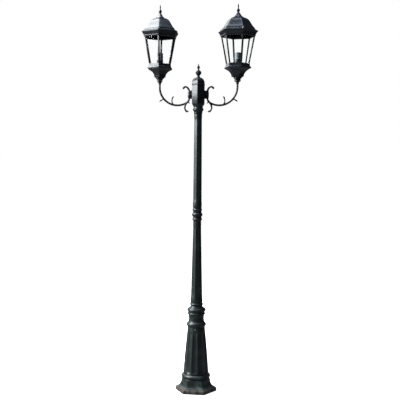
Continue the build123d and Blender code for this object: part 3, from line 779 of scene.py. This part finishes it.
def spline(points: Sequence[tuple[float, float]], steps: int = 8) -> list[Vector]:
    """A smooth line in the arms' plane through some points.

    Args:
        points: X and Z in millimetres.
        steps: pieces between two points.

    Returns:
        Points along the line in metres.
    """
    return [Vector((x * MM, 0, z * MM)) for x, z in curved(*points, steps=steps)]


def arc(centre: Station, radius: float, start: float, end: float, steps: int) -> list[Station]:
    """Points on an arc.

    Args:
        centre: its centre.
        radius: its radius.
        start: first angle in degrees.
        end: last angle in degrees.
        steps: pieces of the arc.

    Returns:
        The points, both ends included.
    """
    angles = [math.radians(start + (end - start) * k / steps) for k in range(steps + 1)]
    return [(centre[0] + radius * math.cos(a), centre[1] + radius * math.sin(a)) for a in angles]


def join(pieces: Sequence[bpy.types.Object], name: str) -> bpy.types.Object:
    """Join pieces into one object.

    Args:
        pieces: the objects to join.
        name: the new object's name.

    Returns:
        The joined object.
    """
    deselect_all()
    for piece in pieces:
        piece.select_set(True)
    bpy.context.view_layer.objects.active = pieces[0]
    bpy.ops.object.join()
    pieces[0].name = pieces[0].data.name = name
    return pieces[0]


def mirrored(piece: bpy.types.Object, name: str) -> bpy.types.Object:
    """A copy of a piece on the other side of the post.

    Args:
        piece: the piece to copy.
        name: the copy's name.

    Returns:
        The copy, with its own mesh.
    """
    twin = bpy.data.objects.new(name, piece.data.copy())
    bpy.context.scene.collection.objects.link(twin)
    twin.data.transform(Matrix.Scale(-1, 4, (1, 0, 0)))
    twin.data.flip_normals()
    return twin


def place(piece: bpy.types.Object, body: str, slot: Slot, finish: bpy.types.Material, *nodes: str) -> None:
    """Dress a piece, hang it on its body and let it stand for its CAD nodes.

    Args:
        piece: the finished object.
        body: the body that it rides on.
        slot: the record's material slot; not used.
        finish: its material.
        nodes: the CAD nodes that it replaces.
    """
    piece.data.materials.clear()
    piece.data.materials.append(finish)
    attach(piece, body)
    if nodes:
        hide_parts(*nodes)
    log.info("%s: %d faces on %s", piece.name, len(piece.data.polygons), body)


def place_on_post(piece: bpy.types.Object, finish: bpy.types.Material, node: str) -> None:
    """Place a painted piece of the post for one CAD node."""
    place(piece, "post", Slot.PAINT, finish, node)


# ---- post ---------------------------------------------------------------------------------------
@dataclass
class Foot:
    """Hexagonal foot: plinth, rolled edge, bell and round ring.

    Args:
        corner_r: radius over the plinth's corners, in millimetres.
        flat_to: height up to which the sides are wholly flat.
        fade: height over which the flats die out.
        round_from: height from which the plan is round.
        trace: share of the flats kept until then.
    """

    corner_r: float = 125.0
    flat_to: float = 50.0
    fade: float = 32.0
    round_from: float = 78.0
    trace: float = 0.2

    def sidedness(self, z: float) -> float:
        """Flat-sided below, easing to round at the ring.

        Args:
            z: height in millimetres.

        Returns:
            How far the plan is flat-sided, 0 to 1.
        """
        if z < self.flat_to:
            return 1.0
        fading = max(0.0, 1.0 - (z - self.flat_to) / self.fade)
        return fading * (1.0 - self.trace) + self.trace * (z < self.round_from)

    def build(self, palette: Palette) -> None:
        """Model and dress the foot.

        Args:
            palette: the finishes.
        """
        roll = [
            (self.corner_r, 13), (124.6, 17), (123, 21), (120.5, 23.8), (117, 25), (114.6, 24.6),
            (113.6, 27.5),
        ]
        bell = curved((113.6, 27.5), (106, 30), (99, 35), (92, 46), (88, 60), (85, 76), steps=3)
        ring = arc((74, 91), 13, -78, 86, 14)
        stations = [
            (self.corner_r - 1.5, 0), (self.corner_r, 1.5), *roll, *bell[1:], (82, 78.6), *ring,
            (74, 105), (73, 108), (20, 108), (20, 100), (64, 100), (66, 80), (78, 56), (88, 38),
            (112, 16), (114, 0), (self.corner_r - 1.5, 0),
        ]
        foot = Moulding(
            "foot_cast", stations, Outline.SIX, sidedness=self.sidedness, around=96, bevel=0.9,
        ).build()
        place_on_post(foot, palette.foot, "foot_casting")


@dataclass
class Pedestal:
    """Fluted pedestal between the foot and the lower collar.

    Args:
        base: height of the lower end, in millimetres.
        top: height of the upper end.
        base_r: outside radius at the lower end.
        taper: how much smaller the radius is at the upper end.
        swell: how far the side swells out midway, four times over.
        lip: plain height left at either end.
        wall: how far inside the surface a point still counts as outside.
        flutes: number of flutes.
        low: height of the flutes' lower centres.
        high: height of their upper centres.
        deep: depth of a flute at its foot.
        share: share of the pitch taken by a flute.
        hollow: how full the flute's section is; 0.5 is a round one.
        points: points across one flute and its fillet.
    """

    base: float = 108.0
    top: float = 386.0
    base_r: float = 75.9
    taper: float = 24.7
    swell: float = 6.4
    lip: float = 1.0
    wall: float = 3.0
    flutes: int = 12
    low: float = 128.0
    high: float = 346.0
    deep: float = 5.4
    share: float = 0.84
    hollow: float = 0.6
    points: int = 18

    def radius(self, z: float) -> float:
        """Outside radius at a height, slightly swollen."""
        t = (z - self.base) / (self.top - self.base)
        return self.base_r - self.taper * t + self.swell * t * (1 - t)

    def carve(self, angle: float, z: float, radius: float) -> float:
        """Cut the flutes, their ends rounded.

        Args:
            angle: direction from the axis, in radians.
            z: height in millimetres.
            radius: radius before the cut.

        Returns:
            Radius after the cut.
        """
        inside = radius < self.radius(z) - self.wall
        if inside or z < self.base + self.lip or z > self.top - self.lip:
            return radius
        pitch = 2 * math.pi / self.flutes
        off = (angle + pitch / 2) % pitch - pitch / 2
        across = off / (0.5 * pitch * self.share)
        half = radius * 0.5 * pitch * self.share
        beyond = max(self.low - z, z - self.high, 0.0) / half
        spread = across ** 2 + beyond ** 2
        if spread >= 1:
            return radius
        depth = self.deep * radius / self.radius(self.low)
        return radius - depth * (1 - spread) ** self.hollow

    def build(self, palette: Palette) -> None:
        """Model and dress the pedestal.

        Args:
            palette: the finishes.
        """
        heights = (self.base, self.base + 2, *range(112, 384, 4), self.top - 2, self.top)
        outer = [(self.radius(z), z) for z in heights]
        stations = [
            *outer, (43, self.top), (42.5, 352), (62, 126), (20, 124), (20, self.base), outer[0],
        ]
        piece = Moulding(
            "pedestal_cast", stations, around=self.flutes * self.points, bevel=0.0, carve=self.carve,
        ).build()
        place_on_post(piece, palette.pole, "fluted_pedestal")


@dataclass
class Column:
    """Turned collars and the two eight-sided tapered poles.

    Args:
        corner: direction of one edge of the poles, in degrees.
        plain: share of a pole's end run that stays round.
    """

    corner: float = -99.0
    plain: float = 0.35

    def pole(self, name: str, low: float, high: float, low_r: float, high_r: float, margin: float,
             bore: float) -> bpy.types.Object:
        """A tapered pole whose flats die out towards its ends.

        Args:
            name: the piece's name.
            low: height of its lower end in millimetres.
            high: height of its upper end.
            low_r: radius at its lower end.
            high_r: radius at its upper end.
            margin: where the flats reach their full width, from each end.
            bore: radius of its bore.

        Returns:
            The finished piece.
        """
        def sidedness(z: float) -> float:
            """Ease the flats in from the nearer end.

            Args:
                z: height in millimetres.

            Returns:
                How far the plan is flat-sided, 0 to 1.
            """
            inside = min(z - low, high - z)
            t = min(max((inside - margin * self.plain) / (margin * (1 - self.plain)), 0.0), 1.0)
            return t * t * (3 - 2 * t)

        near = [low + margin * k / 10 for k in range(11)]
        middle = [low + margin + (high - low - 2 * margin) * k / 14 for k in range(1, 14)]
        far = [high - margin + margin * k / 10 for k in range(11)]
        slope = (high_r - low_r) / (high - low)
        outer = [(low_r + slope * (z - low), z) for z in (*near, *middle, *far)]
        stations = [*outer, (bore, high), (bore, low), outer[0]]
        return Moulding(
            name, stations, Outline.EIGHT, self.corner, sidedness=sidedness, around=64, bevel=0.0,
        ).build()

    def build(self, palette: Palette) -> None:
        """Model and dress the column, bottom to top.

        Args:
            palette: the finishes.
        """
        collar = [
            (44, 386), (51, 386), (53.5, 387.6), *arc((44, 401), 14.4, -48, 60, 13),
            *curved((50.6, 414.4), (46.9, 420), (45.5, 432), (45.6, 446), (47.2, 456.4)),
            *arc((45.6, 465), 7.4, -62, 62, 9), (49.6, 473), *arc((46, 488), 10.2, -72, 84, 14),
            *curved((45.5, 501.5), (38.5, 505), (35.4, 511), (35.6, 514.5)),
            *arc((34.6, 521.2), 5.6, -60, 66, 9),
            (36.3, 528), (36.5, 534), (21, 534), (21, 500), (33, 470), (34, 400), (44, 386),
        ]
        piece = Moulding("pedestal_collar", collar, around=96, bevel=0.0).build()
        place_on_post(piece, palette.pole, "lower_collar")
        lower = self.pole("lower_pole_cast", 534, 1016, 36.5, 23.8, 46, 21)
        place_on_post(lower, palette.pole, "lower_pole")
        ball = [
            (15.2, 1016), (23.8, 1016), (24.2, 1021),
            *arc((24.6, 1030.6), 5.1, -72, 72, 10), (25.4, 1037), (25.6, 1041),
            *arc((18.2, 1058), 13.1, -56, 56, 18), (25.5, 1070), (25.5, 1080),
            *arc((24.4, 1087), 4.5, -64, 64, 9),
            *curved((26.0, 1092), (25.4, 1098), (26.0, 1105), (26.4, 1110)), (15.2, 1110), (15.2, 1016),
        ]
        piece = Moulding("ball_collar", ball, around=72, bevel=0.0).build()
        place_on_post(piece, palette.column, "middle_collar")
        upper = self.pole("upper_pole_cast", 1110, 1655, 26.4, 23.5, 40, 15.5)
        place_on_post(upper, palette.pole, "upper_pole")
        cup = [
            (15.2, 1655), (23.5, 1655),
            *arc((22.4, 1662), 4.0, -66, 66, 9), *curved((25.4, 1667), (27, 1672), (30.5, 1676.6)),
            *arc((28.6, 1681.6), 4.4, -62, 62, 9),
            *curved((30.2, 1687), (27.9, 1692), (28.3, 1699), (32, 1706)),
            (34, 1709), (15.2, 1709), (15.2, 1655),
        ]
        piece = Moulding("hub_cup_collar", cup, around=72, bevel=0.0).build()
        place_on_post(piece, palette.column, "hub_collar")


@dataclass
class Hub:
    """Hexagonal hub with its cap and urn finial.

    Args:
        corner_r: radius over the corners, in millimetres.
        low: height of its base.
        high: height of its top.
        corner: direction of one corner, in degrees.
    """

    corner_r: float = 41.0
    low: float = 1709.0
    high: float = 1824.0
    corner: float = 90.0

    def build(self, palette: Palette) -> None:
        """Model and dress the hub, its cap and its finial.

        Args:
            palette: the finishes.
        """
        body = [
            (34, self.low), (37, self.low), (39.6, self.low + 4), (self.corner_r, self.low + 8),
            (self.corner_r, self.high - 1), (40.2, self.high), (35.8, self.high), (35.8, self.low + 6),
            (16, self.low + 6), (16, self.low), (34, self.low),
        ]
        piece = Moulding("hub_cast", body, Outline.SIX, self.corner, bevel=0.9).build()
        place_on_post(piece, palette.column, "hub_body")
        cap = [
            (36, self.high), (41.6, self.high), *arc((40.6, self.high + 6), 2.8, -80, 80, 8),
            (41, self.high + 12),
            *curved((41, self.high + 12), (40.4, self.high + 20), (37.5, self.high + 30),
                    (30, self.high + 40), (19, self.high + 45.6), (11.5, self.high + 48), steps=4),
            (3.2, self.high + 48), (3.2, self.high + 42), (16, self.high + 38), (33, self.high + 22),
            (36, self.high),
        ]
        piece = Moulding("hub_cap_cast", cap, Outline.SIX, self.corner, bevel=0.6).build()
        place_on_post(piece, palette.column, "hub_cap")
        urn = [
            (3, 1801), (3, 1872), (9.4, 1872), (9.6, 1875), (7.4, 1877.5), (7.2, 1880),
            *curved((7.2, 1880), (11, 1886), (16, 1893), (17.5, 1900), (15, 1907), (8.4, 1912.5),
                    (5.4, 1916), steps=4),
            *curved((5.4, 1916), (4.4, 1919), (5.6, 1923), (8.6, 1929), (6.4, 1936), (3.2, 1943),
                    (1.4, 1951), steps=4),
        ]
        piece = Moulding("urn_finial", urn, around=40, bevel=0.0).build()
        place_on_post(piece, palette.column, "hub_finial")


@dataclass
class Arms:
    """The two scrolled arms: one is modelled, the other is its mirror.

    Args:
        tube_r: radius of the tube in millimetres.
        lantern_x: the lantern's axis from the post's, in millimetres.
        bend_r: radius of the large bend.
        root_r: radius of the bend by the hub.
        root_x: the upright by the hub.
        root_z: height of the tube's end inside the bracket.
        bend_z: height of the large bend's centre.
        tip_z: height of the tube's end inside the lantern's cup.
        flange: the bracket's flange along X, Y and Z, in metres.
        flange_z: height of the flange's middle.
        block: the bracket's block.
        block_z: height of the block's middle.
        block_end: the block's outer face, in millimetres.
        round_off: radius of the block's outer corners, in metres.
    """

    tube_r: float = 6.0
    lantern_x: float = 232.0
    bend_r: float = 107.5
    root_r: float = 30.0
    root_x: float = 55.0
    root_z: float = 1760.0
    bend_z: float = 1814.5
    tip_z: float = 1863.0
    flange: Triple = (0.006, 0.032, 0.048)
    flange_z: float = 1.770
    block: Triple = (0.0275, 0.02, 0.047)
    block_z: float = 1.7695
    block_end: float = 63.0
    round_off: float = 0.011

    def centre_line(self) -> list[Vector]:
        """Lay out the tube's line, from inside the bracket to the lantern's cup.

        Returns:
            Points along the line in metres.
        """
        bend_x, root_cx = self.lantern_x - self.bend_r, self.root_x + self.root_r
        root_cz = self.bend_z - math.sqrt((self.bend_r - self.root_r) ** 2 - (bend_x - root_cx) ** 2)
        meet = 180 + math.degrees(math.atan2(self.bend_z - root_cz, bend_x - root_cx))
        points = [
            (self.root_x, self.root_z), *arc((root_cx, root_cz), self.root_r, 180, meet, 12),
            *arc((bend_x, self.bend_z), self.bend_r, meet, 360, 44)[1:], (self.lantern_x, 1827),
            (self.lantern_x, self.tip_z),
        ]
        return [Vector((x * MM, 0, z * MM)) for x, z in points]

    def bracket(self) -> bpy.types.Object:
        """Model the rounded bracket with its flange against the hub.

        Returns:
            The finished bracket.
        """
        deselect_all()
        flat = Hub.corner_r * math.cos(math.pi / Outline.SIX.value)
        centre = (flat * MM + self.flange[0] / 2, 0, self.flange_z)
        bpy.ops.mesh.primitive_cube_add(size=1, location=centre, scale=self.flange)
        flange = finish_mesh(bpy.context.object, 1.2)
        centre = ((flat + self.block_end) / 2 * MM, 0, self.block_z)
        bpy.ops.mesh.primitive_cube_add(size=1, location=centre, scale=self.block)
        block = bpy.context.object
        bpy.ops.object.transform_apply(location=True, rotation=True, scale=True)
        bpy.ops.object.mode_set(mode="EDIT")
        bpy.ops.mesh.select_all(action="DESELECT")
        bpy.ops.object.mode_set(mode="OBJECT")
        for edge in block.data.edges:
            ends = [block.data.vertices[k].co for k in edge.vertices]
            outer = all(end.x * 2 > (flat + self.block_end) * MM for end in ends)
            edge.select = outer and abs(ends[0].z - ends[1].z) < MM
        bpy.ops.object.mode_set(mode="EDIT")
        bpy.ops.mesh.bevel(offset=self.round_off, segments=5)
        bpy.ops.object.mode_set(mode="OBJECT")
        return join([flange, finish_mesh(block, 1.0)], "arm_bracket")

    def build(self, palette: Palette) -> None:
        """Model one arm and mirror it.

        Args:
            palette: the finishes.
        """
        tube = Horn("arm_tube", self.centre_line(), [self.tube_r] * 2, [1.0] * 2, around=28).build()
        upper = spline([(54, 1786), (57, 1799), (65, 1811), (77, 1816.5), (87, 1811), (91, 1802)])
        lower = spline([(68, 1724), (76.5, 1711), (80, 1695), (77, 1680), (68, 1671), (58, 1673)])
        spur = spline([(63, 1731), (58, 1724), (50, 1717)], 5)
        inner = spline([(148, 1709.5), (155, 1719), (158, 1734), (155, 1750), (147, 1761)])
        outer = spline([(200, 1741), (210, 1742.5), (222, 1737), (234, 1729)])
        horns = [
            Horn("upper_scroll", upper, [6.5, 6.2, 5.6, 5.0, 5.4, 6.8, 2.5],
                 [1.4, 1.2, 1.1, 1.1, 1.2, 1.2, 1.0]).build(),
            Horn("lower_scroll", lower, [6.2, 5.8, 5.2, 4.6, 4.8, 6.0, 2.2],
                 [1.2, 1.2, 1.1, 1.1, 1.2, 1.2, 1.0]).build(),
            Horn("spur", spur, [4.6, 4.0, 3.0, 1.0], [1.2, 1.2, 1.1, 1.0]).build(),
            Horn("inner_leaf", inner, [4.8, 4.6, 3.6, 3.4, 4.6, 1.2], [1.1, 1.3, 1.3, 1.5, 1.8, 1.4]).build(),
            Horn("outer_leaf", outer, [4.4, 4.0, 3.4, 4.6, 1.4], [1.1, 1.2, 1.3, 1.7, 1.3]).build(),
        ]
        shoulder = Moulding(
            "arm_shoulder",
            [(6, 1830), (7.4, 1832), (8.5, 1834), (8.5, 1838), (7.6, 1839), (6, 1839)],
            x=self.lantern_x * MM, around=32, bevel=0.3,
        ).build()
        right = join([tube, self.bracket(), shoulder, *horns], "right_arm_cast")
        left = mirrored(right, "left_arm_cast")
        place_on_post(right, palette.lantern, "right_arm")
        place_on_post(left, palette.lantern, "left_arm")


# ---- lanterns -----------------------------------------------------------------------------------
@dataclass
class Lantern:
    """A hexagonal lantern body with its lift-off roof, modelled at the origin and stood on its arm.

    Args:
        reach: distance of the lantern's axis from the post's, in millimetres.
        corners: direction of the front corner of each lantern, in degrees.
    """

    reach: float = Arms.lantern_x
    corners: dict[Side, float] = field(default_factory=lambda: {Side.LEFT: -84.5, Side.RIGHT: -68.5})

    def stand(self, master: bpy.types.Object, side: Side, name: str) -> bpy.types.Object:
        """Copy a master piece on to one side's axis, with a mesh of its own.

        Args:
            master: the piece modelled on the origin's axis, one corner along X.
            side: which lantern.
            name: the copy's name.

        Returns:
            The copy, finished in place.
        """
        piece = master.copy()
        piece.data = master.data.copy()
        piece.name = piece.data.name = f"{side.value}_{name}"
        bpy.context.scene.collection.objects.link(piece)
        turn = Matrix.Rotation(math.radians(self.corners[side]), 4, "Z")
        piece.data.transform(Matrix.Translation((side.sign * self.reach * MM, 0, 0)) @ turn)
        return piece

    def masters(self) -> dict[str, tuple[bpy.types.Object, str]]:
        """Model each casting once.

        Returns:
            The master pieces and the body each rides on, by the CAD node they stand for.
        """
        cup = [
            (6.2, 1839), (8.6, 1839), (9.2, 1841), (10, 1842.4),
            *arc((8.5, 1849), 7, -55, 55, 9), (15.2, 1855),
            *arc((13, 1858.4), 5.6, -30, 50, 6), (19, 1863.6),
            *arc((20.6, 1868), 4.6, -70, 75, 9), (22, 1873),
            (5.3, 1873), (5.3, 1864), (6.2, 1863), (6.2, 1839),
        ]
        bowl = [
            (5.3, 1873), (35.4, 1873), (36.6, 1874.4), (37.4, 1877),
            *curved((37.4, 1877), (38.6, 1883.5), (42, 1892), (50, 1902.6), (60, 1911), (71, 1917.6),
                    (79, 1921), steps=4),
            (79.6, 1922), (79, 1923), (70, 1923),
            *curved((66, 1919), (55, 1912), (44, 1903), (36.5, 1892), (33, 1878), steps=3),
            (5.3, 1877), (5.3, 1873),
        ]
        rim = [
            (74, 1923), (80, 1923), *arc((79.4, 1926), 2.8, -70, 60, 7), (79.4, 1930.4),
            *arc((82, 1938.4), 8.2, 235, 178, 6),
            (73.2, 1944), (73.2, 1949), (72.6, 1950), (57, 1950), (57, 1946), (70, 1931), (74, 1923),
        ]
        cornice = [
            (88, 2107), (104.5, 2107), (105.6, 2108), *arc((104.2, 2112.6), 3.2, -50, 60, 6),
            (106.6, 2117), (109, 2119.4),
            *curved((109.6, 2120.4), (111, 2124), (114, 2128.4), (118, 2131.6), steps=4),
            (118.6, 2133), (118, 2134),
            (95, 2134), (95, 2130), (103, 2129), (101, 2111), (88, 2111), (88, 2107),
        ]
        roof = [
            (96, 2134), (119.5, 2134), *arc((119.2, 2136), 2.3, -60, 70, 5),
            *curved((119, 2138.6), (113, 2141.4), (106, 2145.4), (101.4, 2149.6), steps=4),
            (100.8, 2151), *arc((98, 2153.4), 3.2, -30, 80, 6),
            *curved((97, 2157), (91, 2164), (84.6, 2173), (78, 2183), (71.6, 2193), (63.6, 2203.6),
                    (54, 2211), (43, 2216), (33, 2220), (24.6, 2226), (17.4, 2234), (12, 2244), steps=3),
            (11, 2244.6), (2.7, 2244.6), (2.7, 2237), (8.6, 2236), (21, 2222), (37, 2213),
            (58, 2202.6), (74, 2181), (92, 2154), (96, 2140), (96, 2134),
        ]
        urn = [
            (2.5, 2231), (2.5, 2244), (9.4, 2244), (9.6, 2246),
            *curved((9.2, 2246.6), (6.4, 2249), (6.2, 2252), steps=4),
            *curved((6.2, 2252), (8.6, 2257), (9.8, 2262), (8.2, 2267), (5.2, 2270), steps=4),
            *curved((5.0, 2270.4), (3.8, 2273), (3.4, 2279), (4.2, 2285), (3.2, 2291), (1.2, 2300),
                    steps=4),
        ]
        return {
            "cup": (Moulding("cup_cast", cup, around=56, bevel=0.0).build(), "lantern"),
            "bowl": (Moulding("bowl_cast", bowl, Outline.SIX, bevel=0.5).build(), "lantern"),
            "lower_rim": (Moulding("rim_cast", rim, Outline.SIX, bevel=0.5).build(), "lantern"),
            "cornice": (Moulding("cornice_cast", cornice, Outline.SIX, bevel=0.5).build(), "lantern"),
            "roof": (Moulding("roof_cast", roof, Outline.SIX, bevel=0.5).build(), "roof"),
            "roof_finial": (Moulding("spike_cast", urn, around=36, bevel=0.0).build(), "roof"),
        }

    def build(self, palette: Palette) -> None:
        """Model and dress both lanterns.

        Args:
            palette: the finishes.
        """
        masters = self.masters()
        fittings = {
            "ribs": (Slot.PAINT, palette.lantern, 0.7),
            "panes": (Slot.GLASS, palette.glass, 0.3),
            "lampholder_cap": (Slot.CERAMIC, palette.plastic, 0.8),
            "lampholder": (Slot.CERAMIC, palette.ceramic, 1.2),
        }
        for side in Side:
            for node, (master, part) in masters.items():
                piece = self.stand(master, side, f"{node}_finished")
                body = f"{side.value}_{part}"
                place(piece, body, Slot.PAINT, palette.lantern, f"{side.value}_{node}")
            for node, (slot, finish, bevel) in fittings.items():
                piece = Softened(f"{side.value}_{node}", bevel).build()
                place(piece, f"{side.value}_lantern", slot, finish, f"{side.value}_{node}")
        for master, _ in masters.values():
            bpy.data.objects.remove(master)


# ---- stage --------------------------------------------------------------------------------------
@dataclass(frozen=True)
class SoftLight:
    """A soft rectangular light, unseen by the camera.

    Args:
        name: the light's name.
        stand: where it stands, in metres.
        size: its width and height in metres.
        power: its power in watts.
        tint: its colour.
    """

    name: str
    stand: Triple
    size: tuple[float, float]
    power: float
    tint: Colour

    def build(self, aim: Vector) -> None:
        """Hang the light.

        Args:
            aim: the point that it faces.
        """
        data = bpy.data.lights.new(self.name, "AREA")
        data.shape = "RECTANGLE"
        data.size, data.size_y = self.size
        data.energy = self.power
        data.color = self.tint
        lamp = bpy.data.objects.new(self.name, data)
        bpy.context.scene.collection.objects.link(lamp)
        lamp.location = Vector(self.stand)
        lamp.rotation_euler = (Vector(self.stand) - aim).to_track_quat("Z", "Y").to_euler()
        lamp.visible_camera = False


@dataclass
class Studio:
    """Camera, lights, floor and sky.

    Args:
        azimuth: the camera's direction round the post, in degrees.
        distance: its distance from the post's axis in metres.
        height: its height in metres.
        lens: focal length in millimetres.
        pitch: how far it looks down, in degrees.
        yaw: how far it looks aside, in degrees.
        roll: how far it leans, in degrees.
        sensor: width of its sensor in millimetres.
        floor_size: side of the floor in metres.
        seen: the sky's tone as the camera sees it.
        lit: the sky's tone as it lights and is reflected.
        aim_z: height that the lights face, in metres.
        lights: the lights.
    """

    azimuth: float = 7.44
    distance: float = 4.579
    height: float = 1.35
    lens: float = 69.2
    pitch: float = 2.56
    yaw: float = 0.194
    roll: float = 0.504
    sensor: float = 36.0
    floor_size: float = 80.0
    seen: Colour = (1.0, 1.0, 1.0)
    lit: Colour = (0.07, 0.085, 0.095)
    aim_z: float = 1.3
    lights: tuple[SoftLight, ...] = (
        SoftLight("left_sky", (-4.5, -1.6, 3.35), (3.2, 3.4), 620, (0.93, 0.97, 1.0)),
        SoftLight("back_sky", (-3.2, 4.2, 4.6), (4.5, 4.5), 110, (0.95, 0.98, 1.0)),
        SoftLight("high_sky", (-3.0, 0.6, 5.7), (3.0, 3.0), 420, (0.92, 0.96, 1.0)),
        SoftLight("zenith", (0.4, -0.4, 6.5), (3.0, 3.0), 120, (0.70, 0.80, 1.0)),
    )

    def camera(self) -> None:
        """Stand the camera and aim it."""
        around, aim = math.radians(self.azimuth), math.radians(self.azimuth - self.yaw)
        tilt, lean = math.radians(self.pitch), math.radians(self.roll)
        ahead = Vector((-math.sin(aim) * math.cos(tilt), math.cos(aim) * math.cos(tilt), -math.sin(tilt)))
        right = ahead.cross(Vector((0, 0, 1))).normalized()
        up = right.cross(ahead)
        right, up = (
            math.cos(lean) * right + math.sin(lean) * up,
            math.cos(lean) * up - math.sin(lean) * right,
        )
        data = bpy.data.cameras.new("camera")
        data.lens = self.lens
        data.sensor_width = self.sensor
        camera = bpy.data.objects.new("camera", data)
        bpy.context.scene.collection.objects.link(camera)
        camera.matrix_world = Matrix.Translation((
            self.distance * math.sin(around), -self.distance * math.cos(around), self.height,
        )) @ Matrix((right, up, -ahead)).transposed().to_4x4()
        bpy.context.scene.camera = camera

    def sky(self) -> None:
        """Set one tone behind the post and another for the light it gives."""
        world = bpy.data.worlds.new("sky")
        world.use_nodes = True
        bpy.context.scene.world = world
        tree = world.node_tree
        tree.nodes.clear()
        tones = []
        for tone in (self.lit, self.seen):
            node = tree.nodes.new("ShaderNodeBackground")
            node.inputs["Color"].default_value = (*tone, 1.0)
            tones.append(node)
        path = tree.nodes.new("ShaderNodeLightPath")
        mix = tree.nodes.new("ShaderNodeMixShader")
        tree.links.new(path.outputs["Is Camera Ray"], mix.inputs[0])
        tree.links.new(tones[0].outputs[0], mix.inputs[1])
        tree.links.new(tones[1].outputs[0], mix.inputs[2])
        tree.links.new(mix.outputs[0], tree.nodes.new("ShaderNodeOutputWorld").inputs["Surface"])

    def floor(self, finish: bpy.types.Material) -> None:
        """Lay the floor.

        Args:
            finish: its material.
        """
        deselect_all()
        bpy.ops.mesh.primitive_plane_add(size=self.floor_size, location=(0, 0, 0))
        plane = bpy.context.object
        plane.name = "floor"
        plane.data.materials.append(finish)

    def build(self) -> None:
        """Set up the stage."""
        bpy.context.scene.view_settings.view_transform = "Standard"
        self.camera()
        self.floor(Paving("floor_tone").build())
        self.sky()
        for light in self.lights:
            light.build(Vector((0, 0, self.aim_z)))


def dress_rest(palette: Palette) -> None:
    """Give every CAD node its finish, so those still seen have one.

    Args:
        palette: the finishes.
    """
    for entry in frame["record"]["subparts"]:
        node = frame["nodes"][entry["node"]]
        finish = palette.of_slot(Slot(entry["material_slot"]))
        for slot in node.material_slots:
            slot.material = finish


def main() -> None:
    """Build the lamp post, its finishes and its stage."""
    palette = Palette()
    dress_rest(palette)
    for part in (Foot(), Pedestal(), Column(), Hub(), Arms(), Lantern()):
        part.build(palette)
        log.info("built %s", type(part).__name__)
    Studio().build()


if __name__ == "__main__":
    logging.basicConfig(level=logging.INFO)
    main()
